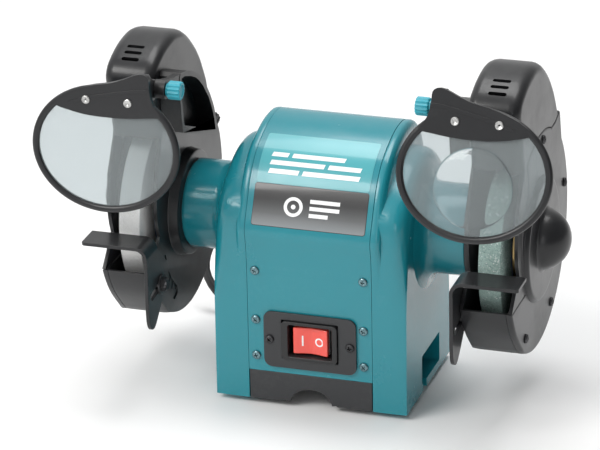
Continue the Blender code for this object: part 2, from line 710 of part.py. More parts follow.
def make_tool_rest():
    """A bent plate: the table lies in front of the wheel, its leg slides on a bolt."""
    inner = 111.0
    thick = REST_THICK
    radius = 9.0
    corner = (inner + radius, REST_TOP - radius)
    section = [(REST_END, REST_TOP)] + arc(corner, (radius, radius), 90, 180, 7)
    section += [(inner, -72.0), (inner + thick, -72.0)]
    section += arc(corner, (radius - thick, radius - thick), 180, 90, 7)
    section += [(REST_END, REST_TOP - thick)]
    rest = plate("tool_rest_right", section, REST_FRONT, -45.0, CHARCOAL, plane="xz",
                 origin=(inner, BOLT_Y, BOLT_Z))
    trim = [(REST_REAR, 10.0), (REST_REAR, -9.0), (-56.0, -22.0), (-49.0, -30.0), (-50.0, -37.0),
            (-74.0, -61.0), (-81.0, -66.5), (-88.0, -64.0), (-91.0, -56.0), (-92.0, -12.0),
            (REST_FRONT - 2, -8.0), (REST_FRONT - 2, -90.0), (-20.0, -90.0), (-20.0, 10.0)]
    tool = plate("rest_trim_tool", trim, 100, 120, CHARCOAL)
    cut(rest, tool)
    cut(rest, box("rest_back_tool", (118, REST_REAR, -10), (170, -30, 10), CHARCOAL))
    slope = math.radians(8)
    slot = rounded_rectangle((-21.0, -3.2), (5.2, 3.2), 3.1, 4)
    turn = [(BOLT_Y + a * math.cos(slope) - b * math.sin(slope),
             BOLT_Z + a * math.sin(slope) + b * math.cos(slope)) for a, b in slot]
    cut(rest, plate("rest_slot_tool", turn, 100, 120, CHARCOAL))
    return rest


def make_rest_bolt():
    profile = [(106.2, 0.0), (106.2, 4.0), (107.0, 4.9), (110.6, 4.9), (110.6, 2.9), (119.6, 2.9),
               (119.6, 0.0)]
    return turned("rest_bolt_right", profile, BLACK, closed=False, steps=12,
                  centre=(0, BOLT_Y, BOLT_Z))


# Eye shields ------------------------------------------------------------------------------------


def make_shield_bracket(side):
    """A hollow quadrant on the hood's inner side, with an arm to the shield's hinge."""
    pivot_z = SHIELD_SETTING[side][1]
    outline = [(-43.0, 71.0), (-47.0, 100.0), (-46.0, 116.5), (-36.0, 115.0), (-20.0, 109.5),
               (-3.0, 99.5), (10.0, 86.5), (20.0, 73.0), (27.0, 58.0), (31.0, 42.0)]
    bracket = plate("shield_bracket_" + side, outline, 98.5, GUARD_IN - GAP, BLACK)
    hollow = [(-40.0, 75.5), (-43.5, 100.0), (-43.0, 112.0), (-36.5, 111.5), (-21.8, 106.3),
              (-5.5, 96.8), (7.2, 84.2), (16.8, 71.3), (23.6, 57.0), (26.2, 47.5)]
    cut(bracket, plate("bracket_hollow_tool", hollow, 90.0, 111.0, BLACK))
    arm = [(PIVOT_Y, pivot_z - 6.5), (-44.0, 102.0), (-44.0, 116.0), (-60.0, pivot_z + 1.0),
           (PIVOT_Y, pivot_z + 6.5)]
    fuse(bracket, plate("bracket_arm_tool", arm, 98.8, 103.9, BLACK))
    fuse(bracket, rod("bracket_eye_tool", 96.2, 103.9, 6.7, BLACK, steps=20,
                      centre=(0, PIVOT_Y, pivot_z)))
    cut(bracket, rod("bracket_bore_tool", 90.0, 109.0, 2.8, BLACK, steps=12,
                     centre=(0, PIVOT_Y, pivot_z)))
    screw_hole = rod("thumb_hole_tool", -14.0, 4.0, 2.6, BLACK, steps=12, axis="y")
    cut(bracket, lean_back(screw_hole))
    return settle(bracket, side)


THUMB_PLACE = (106.0, 32.0, 47.0)
THUMB_LEAN = math.radians(14)


def lean_back(obj):
    """Stand a piece drawn along y on the bracket's rear edge, at right angles to it."""
    obj.data.transform(Matrix.Rotation(THUMB_LEAN, 4, "X"))
    obj.location = Vector(THUMB_PLACE) * MM
    return obj


def make_thumbscrew():
    """The black screw on the bracket's rear edge; it turns about an axis that leans back."""
    profile = [(-2.2, 0.0), (-2.2, 2.2), (4.5, 2.2), (4.5, 3.2), (5.5, 5.2), (12.0, 5.2),
               (12.8, 4.4), (12.8, 0.0)]
    return lean_back(turned("thumbscrew_right", profile, BLACK, closed=False, steps=12, axis="y"))


def lay_on_shield(obj, side):
    """Move a piece drawn about the shield's middle, with its front at -y, onto the shield."""
    middle_x, pivot_z, tilt = SHIELD_SETTING[side]
    turn = Matrix.Rotation(-tilt, 4, "X")
    hinge = Vector((middle_x, PIVOT_Y, pivot_z)) * MM
    middle = hinge + turn @ (Vector((0.0, -SHIELD_OUT, -SHIELD_UP)) * MM)
    obj.data.transform(Matrix.Translation(middle) @ turn)
    return obj


def settle(obj, side):
    """Bake a shield piece and give it its origin on the hinge; the left one is mirrored."""
    mesh = evaluated(obj)
    if side == "left":
        mesh.transform(Matrix.Diagonal((-1.0, 1.0, 1.0, 1.0)))
        mesh.flip_normals()
    obj.modifiers.clear()
    obj.data = mesh
    sign = -1.0 if side == "left" else 1.0
    shift = Vector((sign * LUG_X, PIVOT_Y, SHIELD_SETTING[side][1])) * MM
    mesh.transform(Matrix.Translation(-shift))
    obj.location = shift
    return obj


def ellipse(shrink, count):
    return arc((0, 0), (SHIELD_HALF_WIDTH - shrink, SHIELD_HALF_HEIGHT - shrink), 0, 360,
               count + 1)[:-1]


def make_shield_frame(side):
    loop = [(x, 0.0, z) for x, z in ellipse(SHIELD_RIM, 28)]
    frame = wire("shield_frame_" + side, loop, SHIELD_RIM, CHARCOAL, resolution=1, cyclic=True)
    panel = [(-42.0, 27.0), (-34.0, 26.5), (-20.0, 24.5), (-4.0, 23.8), (12.0, 24.3), (26.0, 26.6),
             (38.0, 31.0), (30.0, 38.5), (10.0, 46.0), (-4.0, 48.5), (-15.0, 52.5), (-24.0, 56.5),
             (-30.0, 56.5), (-33.0, 53.0), (-33.0, 42.0), (-37.0, 34.0)]
    lug = [(1.5, 35.0), (-1.6, 35.0), (-0.5, 56.5), (4.0, 56.5), (14.5, 48.6), (19.0, 48.2),
           (23.5, 45.6), (24.0, 40.0), (20.5, 36.0), (16.0, 34.8)]
    lug_middle = LUG_X - SHIELD_SETTING[side][0]
    tools = [plate("shield_mount_tool", panel, -2.4, 1.6, CHARCOAL, plane="xz"),
             plate("shield_lug_tool", lug, lug_middle - 3.1, lug_middle + 3.1, CHARCOAL)]
    seat = plate("lens_seat_tool", ellipse(4.4, 28), -0.9, 0.9, CHARCOAL, plane="xz")
    hole = rod("shield_bore_tool", -35.0, -15.0, 2.8, CHARCOAL, steps=16,
               centre=(0, SHIELD_OUT, SHIELD_UP))
    for piece in [frame, seat, hole] + tools:
        lay_on_shield(piece, side)
    fuse(frame, *tools)
    cut(frame, seat, hole)
    return settle(frame, side)


def make_shield_lens(side):
    """A clear sheet held in the frame; the right one carries a round magnifier."""
    lens = plate("shield_lens_" + side, ellipse(4.8, 28), -0.6, 0.6, CLEAR, plane="xz")
    lay_on_shield(lens, side)
    if side == "right":
        radius = 28.0
        crown = [(0.0, 0.0), (0.0, radius)]
        crown += [(-0.2 - 5.0 * math.cos(math.radians(a)), radius * math.sin(math.radians(a)))
                  for a in (75, 60, 45, 30, 15)]
        crown.append((-5.2, 0.0))
        bulge = turned("magnifier_tool", crown, CLEAR, closed=False, steps=20, axis="y",
                       centre=(0.0, 0.0, -9.0))
        fuse(lens, lay_on_shield(bulge, side))
    return settle(lens, side)


def make_shield_knob(side):
    """A ribbed knob whose screw clamps the shield's lug to the bracket."""
    profile = [(85.0, 0.0), (85.0, 5.9), (85.8, 6.7), (95.8, 6.7), (95.8, 2.4), (111.8, 2.4),
               (111.8, 0.0)]
    knob = turned("shield_knob_" + side, profile, KNOB_BLUE, closed=False, steps=20,
                  centre=(0, PIVOT_Y, SHIELD_SETTING[side][1]))
    return settle(knob, side)


# Power cord -------------------------------------------------------------------------------------


def make_power_cord():
    start = BODY_REAR - 4.0
    relief = [(start, 0.0), (start, 4.5), (BODY_REAR + GAP, 4.5), (BODY_REAR + GAP, 6.5),
              (BODY_REAR + 4.0, 6.5), (BODY_REAR + 5.0, 5.6),
              (BODY_REAR + STRAIN_RELIEF_LENGTH, 4.3), (BODY_REAR + STRAIN_RELIEF_LENGTH, 0.0)]
    turned("strain_relief", relief, RUBBER, closed=False, steps=20, axis="y",
           centre=(-60.0, 0.0, -72.0))
    end = BODY_REAR + STRAIN_RELIEF_LENGTH + GAP
    route = [(-60.0, end, -72.0), (-60.0, end + 8.5, -72.0)] + CORD_ROUTE
    wire("power_cord", smooth_curve(route, 8.0), CORD_RADIUS, RUBBER, resolution=2)
    floor = -SHAFT_HEIGHT + 0.05
    inner = COIL_RADIUS - COIL_HALF_WIDTH
    outer = COIL_RADIUS + COIL_HALF_WIDTH
    profile = [(floor, inner + 1), (floor, outer - 1), (floor + 3, outer),
               (floor + COIL_HEIGHT - 3, outer), (floor + COIL_HEIGHT, outer - 2),
               (floor + COIL_HEIGHT, inner + 2), (floor + COIL_HEIGHT - 3, inner),
               (floor + 3, inner)]
    turned("cord_coil", profile, RUBBER, steps=28, axis="z", centre=(COIL_X, COIL_Y, 0.0))


def make_plug():
    """A round moulded plug on its side behind the coil, with two round pins."""
    centre = (0.0, PLUG_Y, -SHAFT_HEIGHT + PLUG_RADIUS + 0.1)
    body = [(PLUG_X, 0.0), (PLUG_X, 4.3), (PLUG_X + 16, 5.4), (PLUG_X + 20, 9.0),
            (PLUG_X + 28, 15.0), (PLUG_X + 32, PLUG_RADIUS), (PLUG_X + 46, PLUG_RADIUS),
            (PLUG_X + 46, 0.0)]
    plug = turned("plug", body, RUBBER, closed=False, steps=20, centre=centre)
    face = PLUG_X + 46
    pin = [(face - 5, 0.0), (face - 5, 2.4), (face + 18.0, 2.4), (face + 19.0, 1.5),
           (face + 19.0, 0.0)]
    for side in (-9.5, 9.5):
        fuse(plug, turned("pin_tool", pin, RUBBER, closed=False, steps=12,
                          centre=(0.0, centre[1] + side, centre[2])))


def main():
    make_motor_cover()
    make_front_screws()
    pair(make_end_housing())
    make_gland_hole(bpy.data.objects["end_housing_left"])
    make_base_pan()
    make_feet()
    make_motor()
    make_switch()
    make_wheel_stack()
    pair(make_guard())
    pair(make_guard_cover())
    pair(make_tool_rest())
    pair(make_rest_bolt())
    pair(make_thumbscrew())
    for side in SHIELD_SETTING:
        make_shield_bracket(side)
        make_shield_frame(side)
        make_shield_lens(side)
        make_shield_knob(side)
    make_power_cord()
    make_plug()


main()
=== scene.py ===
"""Finished look of a double-ended bench grinder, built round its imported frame.

Lengths in the builders are millimetres from the middle of the shaft: +X to the right-hand wheel,
-Y to the person who grinds, +Z up. settle() moves each finished mesh to the frame, in metres.
"""

import math

import bmesh
import bpy
from mathutils import Matrix, Vector


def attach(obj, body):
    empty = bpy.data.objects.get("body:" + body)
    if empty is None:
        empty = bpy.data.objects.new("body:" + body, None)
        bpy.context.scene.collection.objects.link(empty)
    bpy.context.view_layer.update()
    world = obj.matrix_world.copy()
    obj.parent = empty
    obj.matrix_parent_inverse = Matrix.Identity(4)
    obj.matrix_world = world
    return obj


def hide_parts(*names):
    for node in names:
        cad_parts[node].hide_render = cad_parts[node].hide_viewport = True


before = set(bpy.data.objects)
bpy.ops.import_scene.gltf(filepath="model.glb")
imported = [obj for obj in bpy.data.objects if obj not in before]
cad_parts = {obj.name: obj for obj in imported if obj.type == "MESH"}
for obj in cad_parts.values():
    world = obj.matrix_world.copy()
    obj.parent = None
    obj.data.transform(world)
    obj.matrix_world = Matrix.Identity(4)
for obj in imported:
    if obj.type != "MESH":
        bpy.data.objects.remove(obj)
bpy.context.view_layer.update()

MM = 0.001
SHAFT = Vector((0.0, 21.0, 125.0))  # middle of the shaft, in millimetres
BENCH = -125.0  # the surface that the feet stand on
TO_FRAME = Matrix.Scale(MM, 4) @ Matrix.Translation(SHAFT)
SIDES = {"left": -1.0, "right": 1.0}

# ------------------------------------------------------------------------------------ camera

VIEW_TURN = math.radians(18.186)  # to the right of straight ahead
VIEW_RISE = math.radians(22.809)
VIEW_ROLL = math.radians(-1.15)
VIEW_DISTANCE = 2707.8
VIEW_LENS = 221.3
VIEW_AIM = (-25.39, 109.48)  # where the view's axis passes the shaft's upright plane


def make_camera():
    sine, cosine = math.sin(VIEW_TURN), math.cos(VIEW_TURN)
    low, high = math.cos(VIEW_RISE), math.sin(VIEW_RISE)
    back = Vector((sine * low, -cosine * low, high))
    right = Vector((cosine, sine, 0.0))
    up = Vector((-sine * high, cosine * high, low))
    place = right * VIEW_AIM[0] + up * VIEW_AIM[1] + back * VIEW_DISTANCE
    place.y += SHAFT.y
    rolled_right = right * math.cos(VIEW_ROLL) + up * math.sin(VIEW_ROLL)
    rolled_up = up * math.cos(VIEW_ROLL) - right * math.sin(VIEW_ROLL)
    turn = Matrix((rolled_right, rolled_up, back)).transposed().to_4x4()
    lens = bpy.data.cameras.new("studio_camera")
    lens.lens = VIEW_LENS
    lens.sensor_width = 36.0
    lens.clip_end = 20.0
    camera = bpy.data.objects.new("studio_camera", lens)
    camera.matrix_world = Matrix.Translation(place * MM) @ turn
    bpy.context.scene.collection.objects.link(camera)
    bpy.context.scene.camera = camera


make_camera()

# ------------------------------------------------------------------------------ node helpers


class Board:
    """A node tree with short calls for adding nodes and joining sockets."""

    def __init__(self, tree):
        self.tree = tree

    def add(self, kind, **settings):
        node = self.tree.nodes.new(kind)
        for key, value in settings.items():
            if key in node.inputs:
                node.inputs[key].default_value = value
            else:
                setattr(node, key, value)
        return node

    def join(self, source, target):
        self.tree.links.new(source, target)

    def maths(self, operation, first, second=None, clamp=False):
        node = self.add("ShaderNodeMath", operation=operation, use_clamp=clamp)
        for socket, value in zip(node.inputs, (first, second)):
            if isinstance(value, (int, float)):
                socket.default_value = value
            elif value is not None:
                self.join(value, socket)
        return node.outputs[0]

    def ramp(self, factor, stops):
        node = self.add("ShaderNodeValToRGB")
        elements = node.color_ramp.elements
        while len(elements) < len(stops):
            elements.new(0.5)
        for element, (position, shade) in zip(elements, stops):
            element.position = position
            element.color = (shade, shade, shade, 1.0)
        self.join(factor, node.inputs[0])
        return node.outputs["Color"]

    def texture(self, kind, **values):
        """A texture in the object's coordinates; a value is a number or a socket."""
        linked = {label: value for label, value in values.items() if hasattr(value, "links")}
        node = self.add(kind, **{k: v for k, v in values.items() if k not in linked})
        linked["Vector"] = self.add("ShaderNodeTexCoord").outputs["Object"]
        for label, socket in linked.items():
            self.join(socket, node.inputs[label])
        return node.outputs

    def mix(self, factor, first, second):
        node = self.add("ShaderNodeMix", data_type="RGBA")
        for socket, value in ((node.inputs[0], factor), (node.inputs[6], first),
                              (node.inputs[7], second)):
            if isinstance(value, (int, float)):
                socket.default_value = value
            elif isinstance(value, tuple):
                socket.default_value = (*value, 1.0)
            else:
                self.join(value, socket)
        return node.outputs[2]


def new_group(name, inputs, outputs):
    """An empty shader group: inputs are (name, value), outputs are names of values."""
    tree = bpy.data.node_groups.new(name, "ShaderNodeTree")
    for label, value in inputs:
        kind = "NodeSocketColor" if isinstance(value, tuple) else "NodeSocketFloat"
        socket = tree.interface.new_socket(name=label, in_out="INPUT", socket_type=kind)
        socket.default_value = (*value, 1.0) if isinstance(value, tuple) else value
    for label in outputs:
        tree.interface.new_socket(name=label, in_out="OUTPUT", socket_type="NodeSocketFloat")
    board = Board(tree)
    return board, board.add("NodeGroupInput").outputs, board.add("NodeGroupOutput").inputs


def make_smudge_group():
    """Handling marks and streaks on a glossy or satin surface, as a mask from 0 to 1."""
    board, given, out = new_group("handling_marks", [("Scale", 18.0), ("Amount", 0.5)], ["Mask"])
    cloud = board.texture("ShaderNodeTexNoise", Detail=5.0, Roughness=0.62, Scale=given["Scale"])
    fine = board.texture("ShaderNodeTexNoise", Detail=3.0, Roughness=0.5,
                         Scale=board.maths("MULTIPLY", given["Scale"], 9.0))
    broad = board.ramp(cloud["Fac"], [(0.42, 0.0), (0.66, 1.0)])
    both = board.maths("MULTIPLY", broad, board.maths("ADD", fine["Fac"], 0.35))
    board.join(board.maths("MULTIPLY", both, given["Amount"], clamp=True), out["Mask"])
    return board.tree


def make_cast_group():
    """The fine unevenness of a painted or moulded skin: orange peel, pits and a few specks."""
    board, given, out = new_group("skin_texture", [("Peel Scale", 900.0), ("Speck Scale", 2600.0)],
                                  ["Height", "Specks"])
    peel = board.texture("ShaderNodeTexNoise", Detail=2.0, Roughness=0.45,
                         Scale=given["Peel Scale"])
    speck = board.texture("ShaderNodeTexVoronoi", Scale=given["Speck Scale"])
    dots = board.ramp(speck["Distance"], [(0.0, 1.0), (0.32, 0.0)])
    height = board.maths("ADD", peel["Fac"], board.maths("MULTIPLY", dots, 0.25))
    board.join(height, out["Height"])
    board.join(dots, out["Specks"])
    return board.tree


def make_dust_group():
    """Fine dust that settles on faces that look up, broken up by a cloudy pattern."""
    board, given, out = new_group("settled_dust", [("Amount", 0.3), ("Scale", 60.0)], ["Mask"])
    normal = board.add("ShaderNodeNewGeometry").outputs["Normal"]
    parts = board.add("ShaderNodeSeparateXYZ")
    board.join(normal, parts.inputs[0])
    upward = board.ramp(parts.outputs["Z"], [(0.15, 0.0), (0.95, 1.0)])
    cloud = board.texture("ShaderNodeTexNoise", Detail=6.0, Roughness=0.7, Scale=given["Scale"])
    patches = board.ramp(cloud["Fac"], [(0.35, 0.15), (0.7, 1.0)])
    mask = board.maths("MULTIPLY", board.maths("MULTIPLY", upward, patches), given["Amount"],
                       clamp=True)
    board.join(mask, out["Mask"])
    return board.tree


def make_wear_group():
    """Rubbed edges and small chips, from how sharply the surface turns."""
    board, given, out = new_group("edge_rub", [("Amount", 0.5), ("Chip Scale", 220.0)], ["Mask"])
    bend = board.add("ShaderNodeNewGeometry").outputs["Pointiness"]
    edge = board.ramp(bend, [(0.52, 0.0), (0.6, 1.0)])
    chips = board.texture("ShaderNodeTexNoise", Detail=4.0, Roughness=0.7,
                          Scale=given["Chip Scale"])
    broken = board.ramp(chips["Fac"], [(0.45, 0.0), (0.62, 1.0)])
    mask = board.maths("MULTIPLY", board.maths("MULTIPLY", edge, broken), given["Amount"],
                       clamp=True)
    board.join(mask, out["Mask"])
    return board.tree


def make_turning_group():
    """Rings that a lathe leaves round the shaft's direction, as a height and a mask."""
    board, given, out = new_group("turning_marks", [("Rings", 1600.0)], ["Height", "Mask"])
    place = board.add("ShaderNodeTexCoord").outputs["Object"]
    parts = board.add("ShaderNodeSeparateXYZ")
    board.join(place, parts.inputs[0])
    across = board.add("ShaderNodeCombineXYZ")
    for axis, middle in (("Y", SHAFT.y * MM), ("Z", SHAFT.z * MM)):
        board.join(board.maths("SUBTRACT", parts.outputs[axis], middle), across.inputs[axis])
    radius = board.add("ShaderNodeVectorMath", operation="LENGTH")
    board.join(across.outputs[0], radius.inputs[0])
    along = board.maths("ADD", radius.outputs["Value"], parts.outputs["X"])
    line = board.add("ShaderNodeTexNoise", noise_dimensions="1D", Detail=3.0, Roughness=0.7)
    board.join(along, line.inputs["W"])
    board.join(given["Rings"], line.inputs["Scale"])
    board.join(line.outputs["Fac"], out["Height"])
    board.join(board.ramp(line.outputs["Fac"], [(0.35, 0.0), (0.7, 1.0)]), out["Mask"])
    return board.tree


MARKS = make_smudge_group()
SKIN = make_cast_group()
DUST = make_dust_group()
RUB = make_wear_group()
TURNING = make_turning_group()


def use_group(board, tree, **values):
    node = board.add("ShaderNodeGroup", node_tree=tree)
    for label, value in values.items():
        node.inputs[label.replace("_", " ")].default_value = value
    return node.outputs


def start_material(name, **shader_values):
    """A material with one Principled shader; uniform values go on the shader's own sockets."""
    material = bpy.data.materials.new(name)
    material.use_nodes = True
    shader = material.node_tree.nodes["Principled BSDF"]
    for label, value in shader_values.items():
        shader.inputs[label.replace("_", " ")].default_value = value
    return material, Board(material.node_tree), shader


def add_bump(board, shader, height, strength, distance):
    bump = board.add("ShaderNodeBump", Strength=strength, Distance=distance)
    board.join(height, bump.inputs["Height"])
    board.join(bump.outputs["Normal"], shader.inputs["Normal"])


def make_skin_material(name, colour, deep, rough, peel, bump, dust, rub, rub_colour, coat=0.0,
                       specks=0.0, speck_colour=(0.5, 0.5, 0.5), specular=0.5):
    """Paint or moulded plastic: two close shades, marks in the gloss, dust and rubbed edges."""
    material, board, shader = start_material(name, Coat_Weight=coat, Coat_Roughness=0.06,
                                             Specular_IOR_Level=specular)
    drift = board.texture("ShaderNodeTexNoise", Scale=9.0, Detail=3.0)
    base = board.mix(drift["Fac"], colour, deep)
    skin = use_group(board, SKIN, Peel_Scale=peel, Speck_Scale=2600.0)
    if specks:
        base = board.mix(board.maths("MULTIPLY", skin["Specks"], specks), base, speck_colour)
    edge = use_group(board, RUB, Amount=rub, Chip_Scale=260.0)["Mask"]
    base = board.mix(edge, base, rub_colour)
    powder = use_group(board, DUST, Amount=dust, Scale=70.0)["Mask"]
    base = board.mix(powder, base, (0.42, 0.43, 0.42))
    board.join(base, shader.inputs["Base Color"])
    marks = use_group(board, MARKS, Scale=16.0, Amount=0.6)["Mask"]
    gloss = board.maths("ADD", board.maths("MULTIPLY", marks, 0.16), rough)
    gloss = board.maths("ADD", gloss, board.maths("MULTIPLY", powder, 0.5), clamp=True)
    board.join(gloss, shader.inputs["Roughness"])
    add_bump(board, shader, skin["Height"], bump, 0.00005)
    return material


def make_steel_material(name, colour, worn, rough, rings):
    material, board, shader = start_material(name, Metallic=1.0)
    turned_marks = use_group(board, TURNING, Rings=rings)
    smear = use_group(board, MARKS, Scale=45.0, Amount=0.9)["Mask"]
    base = board.mix(turned_marks["Mask"], colour, worn)
    base = board.mix(board.maths("MULTIPLY", smear, 0.6), base, tuple(c * 0.5 for c in worn))
    board.join(base, shader.inputs["Base Color"])
    gloss = board.maths("ADD", board.maths("MULTIPLY", turned_marks["Mask"], 0.12), rough)
    gloss = board.maths("ADD", gloss, board.maths("MULTIPLY", smear, 0.2), clamp=True)
    board.join(gloss, shader.inputs["Roughness"])
    add_bump(board, shader, turned_marks["Height"], 0.35, 0.00004)
    return material


def make_grit_material(name, grain, bond, pore_shade, grain_scale):
    """Bonded abrasive: crystals of slightly different shade, open pores darkened with painted
    shade, painted glints on a few crystals and a stony bump.
    """
    material, board, shader = start_material(name, Roughness=0.92)
    crystals = board.texture("ShaderNodeTexVoronoi", Scale=grain_scale, Randomness=1.0)
    shade = board.add("ShaderNodeSeparateColor")
    board.join(crystals["Color"], shade.inputs[0])
    base = board.mix(shade.outputs[0], bond, grain)
    holes = board.texture("ShaderNodeTexNoise", Scale=grain_scale * 0.55, Detail=4.0,
                          Roughness=0.75)
    # The pores are pits in the bump; their darker colour is painted shade.
    pits_and_pore_shade = board.ramp(holes["Fac"], [(0.28, 1.0), (0.4, 0.0)])
    base = board.mix(pits_and_pore_shade, base, pore_shade)
    # Painted glints: a few crystals are turned near white to stand for their sparkle.
    painted_glint = board.ramp(shade.outputs[1], [(0.9, 0.0), (0.97, 1.0)])
    base = board.mix(board.maths("MULTIPLY", painted_glint, 0.55), base, (0.95, 0.95, 0.93))
    burnish = use_group(board, MARKS, Scale=30.0, Amount=0.5)["Mask"]
    base = board.mix(board.maths("MULTIPLY", burnish, 0.35), base, tuple(c * 0.72 for c in bond))
    board.join(base, shader.inputs["Base Color"])
    height = board.maths("SUBTRACT", crystals["Distance"],
                         board.maths("MULTIPLY", pits_and_pore_shade, 0.8))
    add_bump(board, shader, height, 0.8, 0.00025)
    return material


def make_clear_material(name, tint, rough):
    """Clear polycarbonate with faint haze and swirl scratches."""
    material, board, shader = start_material(name, Transmission_Weight=0.8, IOR=1.25)
    haze = use_group(board, MARKS, Scale=22.0, Amount=0.9)["Mask"]
    board.join(board.mix(board.maths("MULTIPLY", haze, 0.12), tint, (0.62, 0.66, 0.68)),
               shader.inputs["Base Color"])
    board.join(board.maths("ADD", board.maths("MULTIPLY", haze, 0.03), rough),
               shader.inputs["Roughness"])
    swirl = board.texture("ShaderNodeTexNoise", Scale=1400.0, Detail=2.0)
    add_bump(board, shader, swirl["Fac"], 0.02, 0.00002)
    return material


def make_band_material(name, stops, axis_low, axis_high, coat):
    """A printed panel whose colour runs with height between two levels: the dark panel's lighter
    lower edge is a painted reflection, and the pale panel turns lighter towards the top.
    """
    material, board, shader = start_material(name, Coat_Weight=coat, Coat_Roughness=0.08)
    parts = board.add("ShaderNodeSeparateXYZ")
    board.join(board.add("ShaderNodeTexCoord").outputs["Object"], parts.inputs[0])
    run = board.add("ShaderNodeMapRange", clamp=True)
    run.inputs["From Min"].default_value = axis_low
    run.inputs["From Max"].default_value = axis_high
    board.join(parts.outputs["Z"], run.inputs["Value"])
    node = board.add("ShaderNodeValToRGB")
    elements = node.color_ramp.elements
    while len(elements) < len(stops):
        elements.new(0.5)
    for element, (position, colour) in zip(elements, stops):
        element.position = position
        element.color = (*colour, 1.0)
    board.join(run.outputs[0], node.inputs[0])
    grain = use_group(board, SKIN, Peel_Scale=2200.0, Speck_Scale=5200.0)
    scuffs = use_group(board, MARKS, Scale=40.0, Amount=0.5)["Mask"]
    base = board.mix(board.maths("MULTIPLY", grain["Specks"], 0.05), node.outputs["Color"],
                     (0.8, 0.8, 0.8))
    board.join(base, shader.inputs["Base Color"])
    board.join(board.maths("ADD", board.maths("MULTIPLY", scuffs, 0.2), 0.28),
               shader.inputs["Roughness"])
    return material


def make_copper_material():
    """Enamelled copper wire, wound side by side."""
    material, board, shader = start_material("copper_winding", Metallic=1.0, Roughness=0.35)
    wires = board.texture("ShaderNodeTexWave", Scale=900.0, Distortion=1.5)
    board.join(board.mix(wires["Fac"], (0.35, 0.12, 0.05), (0.75, 0.33, 0.16)),
               shader.inputs["Base Color"])
    add_bump(board, shader, wires["Fac"], 0.6, 0.0002)
    return material


TEAL = make_skin_material("teal_enamel", (0.010, 0.225, 0.275), (0.007, 0.205, 0.252), 0.2, 700.0,
                          0.05, 0.03, 0.10, (0.05, 0.30, 0.35), coat=0.2)
CHARCOAL = make_skin_material("charcoal_enamel", (0.0155, 0.016, 0.018), (0.012, 0.0125, 0.014),
                              0.30, 1100.0, 0.16, 0.04, 0.12, (0.05, 0.051, 0.054), coat=0.1,
                              specks=0.1, speck_colour=(0.05, 0.05, 0.052), specular=0.36)
BLACK = make_skin_material("black_moulding", (0.010, 0.010, 0.011), (0.007, 0.007, 0.008), 0.34,
                           1500.0, 0.2, 0.05, 0.15, (0.04, 0.04, 0.042))
PAN = make_skin_material("dark_grey_enamel", (0.027, 0.028, 0.031), (0.023, 0.024, 0.026), 0.42,
                         1300.0, 0.22, 0.05, 0.12, (0.09, 0.09, 0.092), specks=0.2,
                         speck_colour=(0.08, 0.08, 0.085))
KNOB = make_skin_material("blue_knob_moulding", (0.030, 0.36, 0.45), (0.024, 0.32, 0.41), 0.33,
                          1400.0, 0.15, 0.04, 0.3, (0.10, 0.48, 0.55))
ROCKER = make_skin_material("red_rocker_moulding", (0.84, 0.085, 0.060), (0.76, 0.065, 0.048), 0.2,
                            1800.0, 0.06, 0.05, 0.3, (0.95, 0.4, 0.33), coat=0.4)
RUBBER = make_skin_material("black_rubber", (0.014, 0.014, 0.015), (0.02, 0.02, 0.021), 0.62,
                            1900.0, 0.35, 0.14, 0.25, (0.06, 0.06, 0.062))
SHEATH = make_skin_material("cord_sheath", (0.018, 0.018, 0.02), (0.013, 0.013, 0.014), 0.45,
                            2400.0, 0.25, 0.12, 0.15, (0.05, 0.05, 0.052))
BLOTTER = make_skin_material("card_washer", (0.13, 0.2, 0.34), (0.11, 0.17, 0.3), 0.8, 2600.0,
                             0.4, 0.2, 0.3, (0.4, 0.45, 0.5))
WHITE_PRINT = make_skin_material("white_print", (0.86, 0.87, 0.87), (0.8, 0.81, 0.81), 0.3,
                                 2000.0, 0.05, 0.05, 0.1, (0.9, 0.9, 0.9))
STEEL = make_steel_material("turned_steel", (0.62, 0.62, 0.61), (0.44, 0.44, 0.43), 0.26, 1800.0)
SCREW_STEEL = make_steel_material("plated_screw", (0.24, 0.37, 0.40), (0.14, 0.24, 0.27), 0.24,
                                  900.0)
DARK_STEEL = make_steel_material("blackened_steel", (0.10, 0.10, 0.105), (0.07, 0.07, 0.073), 0.38,
                                 1100.0)
ZINC = make_steel_material("yellow_zinc_plate", (0.85, 0.64, 0.30), (0.72, 0.48, 0.20), 0.25,
                           1500.0)
BRASS = make_steel_material("plated_pin", (0.74, 0.66, 0.45), (0.6, 0.5, 0.32), 0.22, 2500.0)
COPPER = make_copper_material()
WHITE_GRIT = make_grit_material("white_abrasive", (0.97, 0.97, 0.96), (0.90, 0.90, 0.885),
                                (0.62, 0.62, 0.61), 1500.0)
GREEN_GRIT = make_grit_material("grey_green_abrasive", (0.40, 0.54, 0.50), (0.26, 0.37, 0.34),
                                (0.10, 0.15, 0.14), 1100.0)
CLEAR = make_clear_material("clear_shield_sheet", (0.60, 0.655, 0.67), 0.06)
LIGHT_LABEL = make_band_material("pale_teal_panel", [(0.0, (0.032, 0.29, 0.33)),
                                                     (0.5, (0.055, 0.34, 0.38)),
                                                     (1.0, (0.085, 0.39, 0.43))], 0.168, 0.196,
                                 0.4)
# Painted reflection: the dark panel turns lighter towards its lower edge.
DARK_PANEL_WITH_REFLECTION = make_band_material("dark_panel_painted_reflection", [(0.0, (0.23, 0.25, 0.26)),
                                                      (0.3, (0.085, 0.09, 0.093)),
                                                      (0.62, (0.018, 0.018, 0.019)),
                                                      (1.0, (0.006, 0.006, 0.007))],
                                0.141, 0.169, 0.5)

# ------------------------------------------------------------------------------ mesh helpers


def from_bmesh(edit, name="draft"):
    mesh = bpy.data.meshes.new(name)
    edit.to_mesh(mesh)
    edit.free()
    return mesh


